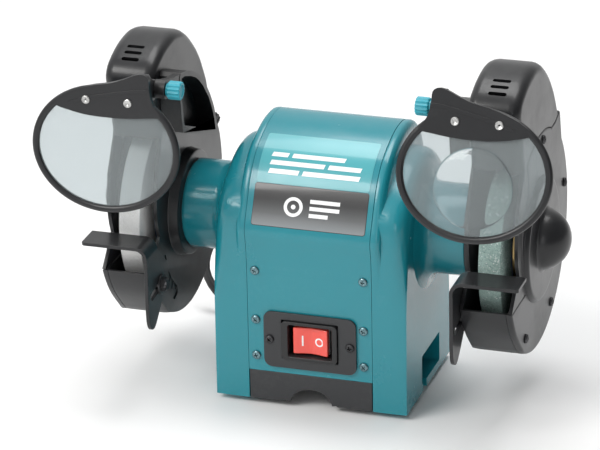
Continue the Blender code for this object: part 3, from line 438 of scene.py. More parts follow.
def weld(edit, distance=0.004):
    bmesh.ops.remove_doubles(edit, verts=edit.verts, dist=distance)
    bmesh.ops.recalc_face_normals(edit, faces=edit.faces)
    return edit


def arc(centre, radii, start, end, count):
    """Points on an ellipse's arc, in degrees from the first axis towards the second."""
    points = []
    for i in range(count):
        angle = math.radians(start + (end - start) * i / (count - 1))
        points.append((centre[0] + radii[0] * math.cos(angle),
                       centre[1] + radii[1] * math.sin(angle)))
    return points


def smooth_line(points, count):
    """Evenly spaced points on a Catmull-Rom curve through points of any dimension."""
    route = [Vector(p) for p in points]
    ends = [2 * route[0] - route[1]] + route + [2 * route[-1] - route[-2]]
    fine = []
    for a, b, c, d in zip(ends, ends[1:], ends[2:], ends[3:]):
        for i in range(20):
            t = i / 20
            fine.append(0.5 * (2 * b + (c - a) * t + (2 * a - 5 * b + 4 * c - d) * t * t
                               + (3 * b - a - 3 * c + d) * t * t * t))
    fine.append(route[-1])
    steps = [(q - p).length for p, q in zip(fine, fine[1:])]
    gap = sum(steps) / (count - 1)
    picked = [fine[0]]
    travelled = 0.0
    for p, q, stretch in zip(fine, fine[1:], steps):
        while travelled + stretch >= gap * len(picked) and len(picked) < count - 1:
            picked.append(p.lerp(q, (gap * len(picked) - travelled) / stretch))
        travelled += stretch
    picked.append(fine[-1])
    return [tuple(p) for p in picked]


def inset(line, amounts, closed=False):
    """Move the points of a line to the right of its direction, each by its own amount."""
    if isinstance(amounts, (int, float)):
        amounts = [amounts] * len(line)
    moved = []
    last = len(line) - 1
    for i, (a, b) in enumerate(line):
        before = line[i - 1] if closed or i else None
        after = line[(i + 1) % len(line)] if closed or i < last else None
        one = Vector((a - before[0], b - before[1])).normalized() if before else None
        two = Vector((after[0] - a, after[1] - b)).normalized() if after else one
        one = one or two
        along = (one + two).normalized()
        stretch = amounts[i] / max(0.5, along.dot(two))
        moved.append((a + along.y * stretch, b - along.x * stretch))
    return moved


def loft(sections, axis="x"):
    """A closed solid through equal-length outlines: (level, outline) pairs along an axis."""
    spot = {"x": lambda level, a, b: (level, a, b), "y": lambda level, a, b: (a, level, b),
            "z": lambda level, a, b: (a, b, level)}[axis]
    edit = bmesh.new()
    loops = [[edit.verts.new(spot(level, a, b)) for a, b in outline]
             for level, outline in sections]
    count = len(loops[0])
    for near, far in zip(loops, loops[1:]):
        for i in range(count):
            j = (i + 1) % count
            edit.faces.new((near[i], near[j], far[j], far[i]))
    edit.faces.new(loops[0])
    edit.faces.new(reversed(loops[-1]))
    return from_bmesh(weld(edit))


def slab(outline, low, high, axis="x"):
    return loft([(low, outline), (high, outline)], axis)


def turned(profile, axis="x", centre=(0.0, 0.0, 0.0), steps=96, closed=False):
    """A profile of (along, radius) points swept round an axis through centre."""
    edit = bmesh.new()
    verts = [edit.verts.new((0.0, radius, along)) for along, radius in profile]
    edges = [edit.edges.new(pair) for pair in zip(verts, verts[1:])]
    if closed:
        edges.append(edit.edges.new((verts[-1], verts[0])))
    bmesh.ops.spin(edit, geom=verts + edges, axis=(0, 0, 1), cent=(0, 0, 0), steps=steps,
                   angle=math.tau, use_merge=True)
    mesh = from_bmesh(weld(edit))
    turn = {"x": Matrix.Rotation(math.radians(90), 4, "Y"),
            "y": Matrix.Rotation(math.radians(-90), 4, "X"), "z": Matrix.Identity(4)}[axis]
    mesh.transform(Matrix.Translation(Vector(centre)) @ turn)
    return mesh


def rod(low, high, radius, axis="x", centre=(0.0, 0.0, 0.0), steps=48):
    return turned([(low, 0.0), (low, radius), (high, radius), (high, 0.0)], axis, centre, steps)


def block(low, high, round_by=0.0, segments=3):
    edit = bmesh.new()
    bmesh.ops.create_cube(edit, size=1.0)
    size = [b - a for a, b in zip(low, high)]
    middle = [(a + b) / 2 for a, b in zip(low, high)]
    bmesh.ops.transform(edit, verts=edit.verts,
                        matrix=Matrix.Translation(middle) @ Matrix.Diagonal((*size, 1.0)))
    if round_by:
        bmesh.ops.bevel(edit, geom=edit.edges[:], offset=round_by, segments=segments,
                        affect="EDGES", profile=0.5)
    return from_bmesh(edit)


def rounded_rectangle(low, high, radius, count=7):
    near_x, near_y = low[0] + radius, low[1] + radius
    far_x, far_y = high[0] - radius, high[1] - radius
    corners = [((far_x, far_y), 0), ((near_x, far_y), 90), ((near_x, near_y), 180),
               ((far_x, near_y), 270)]
    points = []
    for centre, start in corners:
        points += arc(centre, (radius, radius), start, start + 90, count)
    return points


def hexagon(radius, centre=(0.0, 0.0)):
    return [(centre[0] + radius * math.cos(math.tau * i / 6),
             centre[1] + radius * math.sin(math.tau * i / 6)) for i in range(6)]


def tube(points, radius, sides=16, cyclic=False):
    """A round tube through points, with closed ends."""
    curve = bpy.data.curves.new("draft", "CURVE")
    curve.dimensions = "3D"
    curve.bevel_depth = radius
    curve.bevel_resolution = max(1, sides // 4 - 1)
    curve.use_fill_caps = True
    spline = curve.splines.new("POLY")
    spline.points.add(len(points) - 1)
    for point, place in zip(spline.points, points):
        point.co = (*place, 1.0)
    spline.use_cyclic_u = cyclic
    obj = bpy.data.objects.new("draft", curve)
    bpy.context.scene.collection.objects.link(obj)
    mesh = take_mesh(obj)
    edit = bmesh.new()
    edit.from_mesh(mesh)
    return from_bmesh(weld(edit))


def take_mesh(obj):
    """The evaluated mesh of a draft object, which is removed."""
    bpy.context.view_layer.update()
    graph = bpy.context.evaluated_depsgraph_get()
    mesh = bpy.data.meshes.new_from_object(obj.evaluated_get(graph))
    bpy.data.objects.remove(obj, do_unlink=True)
    return mesh


def shaped(mesh, steps, solver="EXACT"):
    """Cut and join meshes in turn: steps are (operation, mesh) with cut, fuse or keep."""
    obj = bpy.data.objects.new("draft", mesh)
    bpy.context.scene.collection.objects.link(obj)
    tools = []
    kinds = {"cut": "DIFFERENCE", "fuse": "UNION", "keep": "INTERSECT"}
    for operation, tool_mesh in steps:
        tool = bpy.data.objects.new("draft_tool", tool_mesh)
        bpy.context.scene.collection.objects.link(tool)
        tools.append(tool)
        modifier = obj.modifiers.new(operation, "BOOLEAN")
        modifier.operation = kinds[operation]
        modifier.solver = solver
        modifier.object = tool
    result = take_mesh(obj)
    for tool in tools:
        bpy.data.objects.remove(tool, do_unlink=True)
    return result


def mirrored(mesh):
    twin = mesh.copy()
    twin.transform(Matrix.Diagonal((-1.0, 1.0, 1.0, 1.0)))
    twin.flip_normals()
    return twin


def moved(mesh, matrix):
    twin = mesh.copy()
    twin.transform(matrix)
    return twin


PIECES = bpy.data.collections.new("grinder_pieces")
bpy.context.scene.collection.children.link(PIECES)


def settle(name, mesh, material, body="machine", replaces=(), edge=0.0, segments=3, crease=32):
    """Place a finished mesh in the frame: metres, rounded edges, material and body."""
    mesh.transform(TO_FRAME)
    mesh.shade_smooth()
    mesh.set_sharp_from_angle(angle=math.radians(crease))
    mesh.materials.clear()
    mesh.materials.append(material)
    obj = bpy.data.objects.new(name, mesh)
    PIECES.objects.link(obj)
    if edge:
        modifier = obj.modifiers.new("rounded_edges", "BEVEL")
        modifier.width = edge * MM
        modifier.segments = segments
        modifier.limit_method = "ANGLE"
        modifier.angle_limit = math.radians(crease)
        modifier.miter_outer = "MITER_ARC"
    shading = obj.modifiers.new("even_shading", "WEIGHTED_NORMAL")
    shading.keep_sharp = not edge
    shading.weight = 80
    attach(obj, body)
    if replaces:
        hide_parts(*([replaces] if isinstance(replaces, str) else replaces))
    return obj


def settle_pair(name, mesh, material, replaces=None, body="machine", left_material=None,
                **options):
    """Place a right-hand mesh and its mirror image; a {} in a name takes left or right."""
    for side in SIDES:
        twin = mirrored(mesh) if side == "left" else mesh.copy()
        chosen = left_material if left_material and side == "left" else material
        settle(name.format(side), twin, chosen, body.format(side),
               replaces.format(side) if replaces else (), **options)

# ------------------------------------------------------------------------------------- cord

CORD_RADIUS = 3.3
COIL_MIDDLE = (-38.0, 150.0)
COIL_OUTER = 48.5
COIL_INNER = 28.0
COIL_TURNS = 3
LAYER_RISE = 6.66
GLAND = Vector((-60.0, 77.3, -72.0))
PLUG_END = Vector((-57.0, 222.5, BENCH + 18.6))
LEAD_IN = [
    tuple(GLAND), (-60.0, 86.0, -72.0), (-64.9, 106.4, -70.9), (-83.3, 123.7, -68.3),
    (-114.2, 125.7, -69.2), (-132.6, 111.1, -78.9), (-133.4, 92.2, -94.7),
    (-119.9, 82.9, -110.4), (-101.5, 87.8, -119.4), (-89.0, 104.5, BENCH + 3.5),
    (-86.4, 126.0, BENCH + 3.4),
]
LEAD_OUT = [
    (-86.9, 167.0, BENCH + 8.2), (-86.0, 182.0, BENCH + 6.2), (-83.5, 198.0, BENCH + 7.4),
    (-77.5, 211.0, BENCH + 11.5), (-68.0, 219.5, BENCH + 16.4), tuple(PLUG_END),
]


def coil_points():
    """Three turns inward on the bench, a rise, and three turns outward on top of them."""
    steps = 30
    points = []
    for i in range(COIL_TURNS * steps + 1):
        turn = i / steps
        radius = COIL_OUTER - (COIL_OUTER - COIL_INNER - 0.4) * turn / COIL_TURNS
        points.append((turn, radius, 3.4))
    for i in range(1, COIL_TURNS * steps + 1):
        turn = i / steps
        ease = min(1.0, turn / 0.15)
        rise = ease * ease * (3 - 2 * ease)
        outward = max(0.0, turn - 0.15) / (COIL_TURNS - 0.15)
        radius = COIL_INNER + (COIL_OUTER - COIL_INNER) * outward
        points.append((COIL_TURNS + turn, radius, 3.4 + LAYER_RISE * rise))
    placed = []
    for turn, radius, height in points:
        angle = math.pi - math.tau * turn
        placed.append((COIL_MIDDLE[0] + radius * math.cos(angle),
                       COIL_MIDDLE[1] + radius * math.sin(angle), BENCH + height))
    return placed


def make_cord():
    coil = coil_points()
    lead = smooth_line(LEAD_IN + [coil[0], coil[1]], 42)[:-1]
    tail = smooth_line([coil[-2], coil[-1]] + LEAD_OUT, 26)[2:]
    route = lead + coil[1:] + tail
    curve = bpy.data.curves.new("power_cord_line", "CURVE")
    curve.dimensions = "3D"
    curve.bevel_depth = CORD_RADIUS * MM
    curve.bevel_resolution = 4
    curve.use_fill_caps = True
    spline = curve.splines.new("POLY")
    spline.points.add(len(route) - 1)
    for point, place in zip(spline.points, route):
        point.co = (*((Vector(place) + SHAFT) * MM), 1.0)
    spline.use_smooth = True
    curve.materials.append(SHEATH)
    cord = bpy.data.objects.new("power_cord_visual", curve)
    PIECES.objects.link(cord)
    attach(cord, "machine")
    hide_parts("power_cord", "cord_coil")
    return cord


def make_plug():
    """A round moulded plug on its side: ribbed grip, flexible tail and two pins."""
    centre = (0.0, PLUG_END.y, PLUG_END.z)
    x = PLUG_END.x
    profile = [(x, 0.0), (x, 4.0), (x + 0.6, 4.3)]
    for i in range(5):
        start = x + 1.5 + i * 3.0
        swell = 4.5 + i * 0.28
        profile += [(start, swell), (start + 0.3, swell - 0.7), (start + 1.3, swell - 0.7),
                    (start + 1.6, swell)]
    profile += [(x + 17.0, 6.2), (x + 20.0, 8.6), (x + 24.0, 12.2), (x + 28.0, 15.6),
                (x + 31.5, 17.6), (x + 34.0, 18.4), (x + 44.8, 18.4), (x + 45.7, 17.9),
                (x + 46.0, 17.0), (x + 46.0, 0.0)]
    body = turned(profile, centre=centre, steps=72)
    cuts = []
    for i in range(18):
        angle = math.tau * i / 18
        spot = (0.0, centre[1] + 18.9 * math.cos(angle), centre[2] + 18.9 * math.sin(angle))
        cuts.append(("cut", rod(x + 29.0, x + 42.0, 0.9, centre=spot, steps=12)))
    plug = settle("plug_visual", shaped(body, cuts), RUBBER, replaces="plug", edge=0.25,
                  segments=2)
    pins = []
    for number, side in enumerate((-9.5, 9.5), 1):
        profile = [(x + 45.0, 0.0), (x + 45.0, 2.4), (x + 63.6, 2.4), (x + 64.6, 1.9),
                   (x + 65.0, 1.0), (x + 65.0, 0.0)]
        spot = (0.0, centre[1] + side, centre[2])
        pins.append(settle(f"plug_pin_{number}", turned(profile, centre=spot, steps=32), BRASS))
    return [plug] + pins


def make_strain_relief():
    """A tapered boot with ribs, and the flange that holds it in the housing's rear wall."""
    wall = 52.0
    profile = [(wall - 4.0, 0.0), (wall - 4.0, 4.4), (wall + 0.3, 4.4), (wall + 0.3, 6.5),
               (wall + 3.6, 6.5), (wall + 4.2, 6.1), (wall + 4.4, 5.6)]
    for i in range(6):
        start = wall + 6.0 + i * 2.9
        size = 5.6 - i * 0.21
        profile += [(start, size), (start + 0.25, size - 0.8), (start + 1.15, size - 0.8),
                    (start + 1.4, size - 0.05)]
    profile += [(wall + 24.4, 4.4), (wall + 25.0, 4.0), (wall + 25.0, 0.0)]
    mesh = turned(profile, axis="y", centre=(GLAND.x, 0.0, GLAND.z), steps=48)
    return settle("strain_relief_boot", mesh, RUBBER, replaces="strain_relief", edge=0.2,
                  segments=2)


def make_tie():
    """The strap that holds the coil together."""
    middle_x = COIL_MIDDLE[0] + (COIL_OUTER + COIL_INNER) / 2
    low, high = middle_x - 14.6, middle_x + 14.6
    outline = rounded_rectangle((low, BENCH + 0.2), (high, BENCH + 14.6), 3.6)
    hole = rounded_rectangle((low + 0.9, BENCH + 0.6), (high - 0.9, BENCH + 13.8), 3.0)
    strap = shaped(slab(outline, COIL_MIDDLE[1] - 5.0, COIL_MIDDLE[1] + 5.0, "y"),
                   [("cut", slab(hole, COIL_MIDDLE[1] - 7.0, COIL_MIDDLE[1] + 7.0, "y"))])
    return settle("coil_tie", strap, BLACK, edge=0.2, segments=2)


cord = make_cord()
boot = make_strain_relief()
make_plug() + [boot, make_tie()]

# ------------------------------------------------------------------------------------- body

COVER_HALF = 46.2
RIM_OUT = 53.6
BODY_HALF = 71.5
BODY_FRONT = -64.0
BODY_REAR = 52.0
BODY_FLOOR = -120.6
PAN_TOP = -98.0
ARCH = [(-67.0, 10.0), (-65.8, 15.5), (-60.5, 26.5), (-54.0, 40.0), (-47.0, 50.3), (-38.0, 59.0),
        (-29.0, 64.2), (-18.0, 68.3), (-5.0, 71.8), (8.0, 73.0), (20.0, 72.0), (32.0, 67.5),
        (42.0, 59.0), (49.0, 47.0), (53.0, 33.0), (54.8, 20.0), (55.0, 9.0)]
LIP = [(BODY_FRONT, -30.0), (-64.05, -22.0), (-64.25, -14.0), (-64.6, -7.0), (-65.1, -1.5),
       (-65.9, 3.0), (-66.7, 6.6)]
SHOULDER = [(-64.0, 9.0), (-61.0, 25.0), (-50.0, 38.0), (-33.0, 48.2), (-17.0, 54.8),
            (0.0, 57.5), (17.0, 55.2), (32.0, 48.2), (44.0, 37.0), (50.5, 22.0), (52.0, 9.0)]
ARCH_LINE = smooth_line(ARCH, 64)
SCREW_SPOTS = [(side * 40.2, level) for side in (-1, 1) for level in (-20.0, -58.0, -86.0)]
SWITCH_SPOTS = [(-29.5, -71.5), (30.5, -71.5)]


def body_outline(curve, front, bottom, inward=0.0):
    """From the front's foot up the front, over the arch and down the rear."""
    rise = [(BODY_FRONT, bottom), (BODY_FRONT, bottom * 0.7 - 9.0), (BODY_FRONT, -42.0)] + front
    line = rise + curve + [(BODY_REAR + 1.0, 2.0), (BODY_REAR, -6.0), (BODY_REAR, bottom)]
    return inset(line, inward)


def eased(outline, amount, low=-55.0, high=38.0, least=0.12):
    """Draw an outline in by amount, fully on its round top and little on its upright sides."""
    shares = [max(least, min(1.0, (level - low) / (high - low))) for _, level in outline]
    return inset(outline, [amount * share * share for share in shares])


def make_motor_cover():
    outer = body_outline(ARCH_LINE, LIP, PAN_TOP)
    inner = body_outline(ARCH_LINE, LIP, PAN_TOP, 2.5)
    mesh = slab(outer + inner[::-1], -COVER_HALF, COVER_HALF)
    steps = [("cut", block((-23, BODY_FRONT - 5, -87), (24, BODY_FRONT + 5, -54)))]
    for x, z in SCREW_SPOTS + SWITCH_SPOTS:
        hole = rod(BODY_FRONT - 8, BODY_FRONT + 8, 2.0, "y", (x, 0.0, z), 24)
        steps.append(("cut", hole))
    settle("motor_cover_sheet", shaped(mesh, steps), TEAL, replaces="motor_cover", edge=0.45,
           crease=40)


def make_end_housings():
    """Rim beside the cover, rounder shoulder, flared tube for the shaft and foot alcove."""
    rim_line = body_outline(ARCH_LINE, LIP, BODY_FLOOR)
    rim = [(x, eased(rim_line, amount)) for x, amount in
           ((46.5, 0.35), (46.9, 0.0), (49.4, 0.0), (50.8, 0.5), (52.0, 1.6), (52.9, 3.0),
            (53.4, 4.6), (RIM_OUT, 6.4))]
    mesh = loft(rim)
    shoulder_line = body_outline(smooth_line(SHOULDER, 64), [(BODY_FRONT, -30.0 + 6.0 * i)
                                                             for i in range(7)], BODY_FLOOR)
    shoulder = [(x, eased(shoulder_line, amount, -70.0, 20.0, 0.18)) for x, amount in
                ((50.0, 0.4), (57.0, 0.4), (61.0, 0.7), (64.5, 1.8), (67.2, 3.8), (69.2, 6.4),
                 (70.6, 9.2), (BODY_HALF, 13.0))]
    tube_line = [(60.0, 0.0), (60.0, 46.0), (70.2, 46.0), (71.8, 44.4), (72.6, 42.0),
                 (73.4, 39.0), (74.8, 36.4), (76.8, 34.4), (79.6, 33.0), (83.0, 32.6),
                 (104.2, 32.6), (105.0, 31.9), (105.0, 30.5), (116.2, 30.5), (116.2, 0.0)]
    alcove_low = BODY_FLOOR + 6.0
    slot = [(80.0, -21.0), (80.0, -12.0)] + arc((63.5, -16.5), (4.5, 4.5), 90, 270, 13)
    alcove = rounded_rectangle((-24.0, alcove_low), (22.0, -92.0), 2.0)
    steps = [("fuse", loft(shoulder)), ("fuse", turned(tube_line)),
             ("cut", slab(alcove, 56.5, 80.0)),
             ("cut", slab(slot, BODY_FLOOR - 3, alcove_low + 2, "z")),
             ("cut", rod(98.0, 130.0, 9.5))]
    settle_pair("end_housing_{}_casting", shaped(mesh, steps), TEAL, "end_housing_{}", edge=0.5,
                crease=42)


def make_base_pan():
    end = COVER_HALF - 0.3
    outline = [(BODY_FRONT, BODY_FLOOR), (BODY_REAR, BODY_FLOOR), (BODY_REAR, PAN_TOP - 0.3),
               (BODY_FRONT, PAN_TOP - 0.3)]
    notch = arc((0.0, BODY_FLOOR - 1.0), (15.5, 12.0), 0, 180, 33)
    notch = [(-21.0, BODY_FLOOR - 3.0), (21.0, BODY_FLOOR - 3.0), (19.0, BODY_FLOOR + 0.8)] + \
        notch[1:-1] + [(-19.0, BODY_FLOOR + 0.8)]
    inner = block((-end + 2.5, BODY_FRONT + 2.5, BODY_FLOOR - 5), (end - 2.5, BODY_REAR - 2.5, -99))
    steps = [("cut", inner), ("cut", slab(notch, BODY_FRONT - 8, BODY_FRONT + 8, "y"))]
    settle("base_pan_pressing", shaped(slab(outline, -end, end), steps), PAN,
           replaces="base_pan", edge=0.6)
    back = block((-end + 3.0, BODY_FRONT + 5.0, -103.0), (end - 3.0, BODY_REAR - 5.0, -101.0), 0.4)
    settle("base_pan_shelf", back, PAN)


def make_feet():
    for place, y in (("front", -44.0), ("rear", 33.0)):
        profile = [(BENCH, 0.0), (BENCH, 5.4), (BENCH + 0.25, 6.8), (BENCH + 0.9, 7.9),
                   (BENCH + 1.8, 8.4), (BENCH + 3.0, 8.3), (BENCH + 4.1, 7.7), (BENCH + 4.1, 0.0)]
        mesh = turned(profile, "z", (60.0, y, 0.0), 48)
        hole = rod(BENCH - 1.0, BENCH + 2.2, 3.2, "z", (60.0, y, 0.0), 32)
        settle_pair("foot_" + place + "_{}_pad", shaped(mesh, [("cut", hole)]), RUBBER,
                    "foot_" + place + "_{}", edge=0.25, segments=2)


def cross_head(radius, rise):
    """A pan head with a cross recess, along -y from the seat at y = 0."""
    profile = [(6.0, 0.0), (6.0, radius * 0.47), (-0.1, radius * 0.47), (-0.1, radius * 0.94),
               (-0.35, radius), (-rise * 0.45, radius * 0.96), (-rise * 0.75, radius * 0.8),
               (-rise * 0.95, radius * 0.45), (-rise, 0.0)]
    head = turned(profile, "y", steps=40)
    arm, depth = radius * 0.62, rise * 0.85
    width = radius * 0.15
    cuts = []
    for a, b in ((arm, width), (width, arm)):
        outline = [(-a, -b), (a, -b), (a, b), (-a, b)]
        tip = [(x * 0.6, z * 0.6) for x, z in outline]
        cuts.append(("cut", loft([(-rise - 1.0, outline), (-rise + depth, tip)], "y")))
    return shaped(head, cuts)


def make_front_screws():
    head = cross_head(3.3, 2.0)
    for number, (x, z) in enumerate(SCREW_SPOTS, 1):
        turn = Matrix.Rotation(0.4 * number, 4, "Y")
        mesh = moved(head, Matrix.Translation((x, BODY_FRONT - 0.2, z)) @ turn)
        settle(f"cover_screw_{number}_head", mesh, SCREW_STEEL, replaces=f"cover_screw_{number}",
               edge=0.12, segments=2)
    for number, (x, z) in enumerate(SWITCH_SPOTS, 1):
        turn = Matrix.Rotation(0.7 * number, 4, "Y")
        mesh = moved(head, Matrix.Translation((x, BODY_FRONT - 2.4, z)) @ turn)
        settle(f"switch_screw_{number}_head", mesh, DARK_STEEL,
               replaces=f"switch_screw_{number}", edge=0.12, segments=2)


# ------------------------------------------------------------------------------------- panels


def on_arch(level_low, flat, lift):
    """Bend a flat mesh, drawn in x and distance up the arch, onto the cover's front."""
    line = [Vector(p) for p in ARCH_LINE]
    reach = [0.0]
    for p, q in zip(line, line[1:]):
        reach.append(reach[-1] + (q - p).length)
    start = next(s for s, p in zip(reach, line) if p.y >= level_low)
    for vert in flat.vertices:
        x, along, out = vert.co
        target = start + along
        i = max(0, min(len(line) - 2, next((k for k, s in enumerate(reach) if s > target),
                                           len(line)) - 1))
        share = (target - reach[i]) / (reach[i + 1] - reach[i])
        spot = line[i].lerp(line[i + 1], share)
        along_line = (line[min(i + 2, len(line) - 1)] - line[max(i - 1, 0)]).normalized()
        spot = spot + Vector((-along_line.y, along_line.x)) * (out + lift)
        vert.co = (x, spot.x, spot.y)
    return flat


def flat_shape(outline, thickness, spacing=1.5):
    """A thin plate in x and height, sliced so that it can bend."""
    edit = bmesh.new()
    face = edit.faces.new([edit.verts.new((x, y, 0.0)) for x, y in outline])
    raised = bmesh.ops.extrude_face_region(edit, geom=[face])
    tops = [v for v in raised["geom"] if isinstance(v, bmesh.types.BMVert)]
    bmesh.ops.translate(edit, verts=tops, vec=(0, 0, thickness))
    low = min(y for _, y in outline)
    high = max(y for _, y in outline)
    level = low + spacing
    while level < high - 0.2:
        whole = edit.verts[:] + edit.edges[:] + edit.faces[:]
        bmesh.ops.bisect_plane(edit, geom=whole, plane_co=(0, level, 0), plane_no=(0, 1, 0))
        level += spacing
    return from_bmesh(weld(edit, 0.0005))


def strip(low, high, lean, thickness):
    """A slanted bar between two corners."""
    (x0, y0), (x1, y1) = low, high
    shift = (y1 - y0) * lean
    return flat_shape([(x0, y0), (x1, y0), (x1 + shift, y1), (x0 + shift, y1)], thickness)


def make_panels():
    """A pale panel over a shaded one; both carry plain bars and no lettering."""
    dark = rounded_rectangle((-41.5, 0.0), (42.0, 29.6), 1.6)
    # The shaded panel's material carries a painted reflection, lighter towards its lower edge.
    settle("shaded_panel", on_arch(15.5, flat_shape(dark, 0.25), 0.02), DARK_PANEL_WITH_REFLECTION, crease=50)
    frame_edge = flat_shape(rounded_rectangle((-41.9, -0.4), (42.4, 30.0), 1.9), 0.12)
    settle("shaded_panel_border", on_arch(15.5, frame_edge, 0.0), BLACK, crease=50)
    pale = rounded_rectangle((-41.5, 30.4), (42.0, 72.0), 1.6)
    settle("pale_panel", on_arch(15.5, flat_shape(pale, 0.22), 0.02), LIGHT_LABEL, crease=50)
    bars = [((-34.0, 37.5), (-12.0, 41.0)), ((-9.0, 37.5), (33.0, 41.0)),
            ((-34.0, 44.0), (6.0, 47.5)), ((9.0, 44.0), (33.0, 47.5)),
            ((-34.0, 50.5), (-22.0, 54.0)), ((-19.0, 50.5), (20.0, 54.0))]
    for number, (low, high) in enumerate(bars, 1):
        settle(f"pale_panel_bar_{number}", on_arch(15.5, strip(low, high, 0.25, 0.12), 0.24),
               WHITE_PRINT, crease=50)
    ring = flat_shape(arc((-12.0, 15.0), (7.0, 7.0), 0, 352.5, 48), 0.14)
    hole = flat_shape(arc((-12.0, 15.0), (4.6, 4.6), 0, 350, 36), 2.0)
    hole.transform(Matrix.Translation((0, 0, -1)))
    settle("wheel_mark_ring", on_arch(15.5, shaped(ring, [("cut", hole)]), 0.27), WHITE_PRINT,
           crease=50)
    dot = flat_shape(arc((-12.0, 15.0), (1.7, 1.7), 0, 345, 24), 0.14)
    settle("wheel_mark_hub", on_arch(15.5, dot, 0.27), WHITE_PRINT, crease=50)
    for number, (low, high) in enumerate((((0.0, 18.6), (22.0, 21.4)), ((0.0, 13.6), (22.0, 16.4)),
                                          ((0.0, 8.6), (14.0, 11.4))), 1):
        settle(f"wheel_mark_bar_{number}", on_arch(15.5, strip(low, high, 0.0, 0.14), 0.27),
               WHITE_PRINT, crease=50)


# ------------------------------------------------------------------------------------- switch


def make_switch():
    front = BODY_FRONT
    plate = slab(rounded_rectangle((-34, -93), (35, -50), 6, 10), front - 2.2, front - 0.3, "y")
    steps = [("cut", block((-20.6, -72, -85.6), (21.6, -60, -55.4)))]
    for x, z in SWITCH_SPOTS:
        steps.append(("cut", rod(front - 8, front + 2, 2.0, "y", (x, 0, z), 24)))
    settle("switch_plate_moulding", shaped(plate, steps), PAN, replaces="switch_plate", edge=0.8,
           segments=4)
    bezel = slab(rounded_rectangle((-20.3, -85.3), (21.3, -55.7), 3, 8), front - 4.2, front + 20,
                 "y")
    well = rounded_rectangle((-14.6, -82.2), (16.6, -58.8), 1.6)
    mouth = rounded_rectangle((-15.8, -83.2), (17.8, -57.8), 2.0)
    steps = [("cut", loft([(front - 5.0, mouth), (front - 1.0, well)], "y")),
             ("cut", slab(well, front - 6.0, front + 16, "y"))]
    settle("switch_bezel", shaped(bezel, steps), BLACK, replaces="switch_housing", edge=0.5)
    lobes = [(-12.8, -3.0), (-12.8, 4.6), (-10.0, 4.2), (-6.0, 3.2), (-2.0, 2.5), (0.0, 2.3),
             (2.0, 2.5), (6.0, 3.2), (10.0, 4.2), (12.8, 4.6), (12.8, -3.0), (6.0, -6.5),
             (-6.0, -6.5)]
    pivot_y = front + 5.0
    outline = [(1.0 + a, pivot_y - b - 3.0) for a, b in lobes][::-1]
    settle("rocker_key", slab(outline, -80.7, -60.3, "z"), ROCKER, "rocker", "rocker", edge=0.8,
           segments=4, crease=50)
    line = block((-0.6, -0.15, -4.0), (0.6, 0.5, 4.0), 0.1, 2)
    circle = turned([(-0.15, 2.2), (0.5, 2.2), (0.5, 3.3), (-0.15, 3.3)], "y", steps=40,
                    closed=True)
    for name, mark, across in (("on", line, -6.0), ("off", circle, 6.4)):
        lean = Matrix.Rotation(math.copysign(math.radians(12), -across), 4, "Z")
        mark.transform(Matrix.Translation((1.0 + across, pivot_y - 6.25, -70.5)) @ lean)
        settle("rocker_mark_" + name, mark, WHITE_PRINT, "rocker")
    frame_line = rounded_rectangle((-12.6, -81.0), (14.6, -60.0), 1.4)
    frame_hole = rounded_rectangle((-11.6, -80.9), (13.6, -60.1), 1.2)
    rim = shaped(slab(frame_line, front + 2.0, front + 4.0, "y"),
                 [("cut", slab(frame_hole, front, front + 6, "y"))])
    settle("switch_inner_rim", rim, DARK_STEEL, edge=0.15, segments=2)


# ------------------------------------------------------------------------------------- rotor

BORE = 6.35


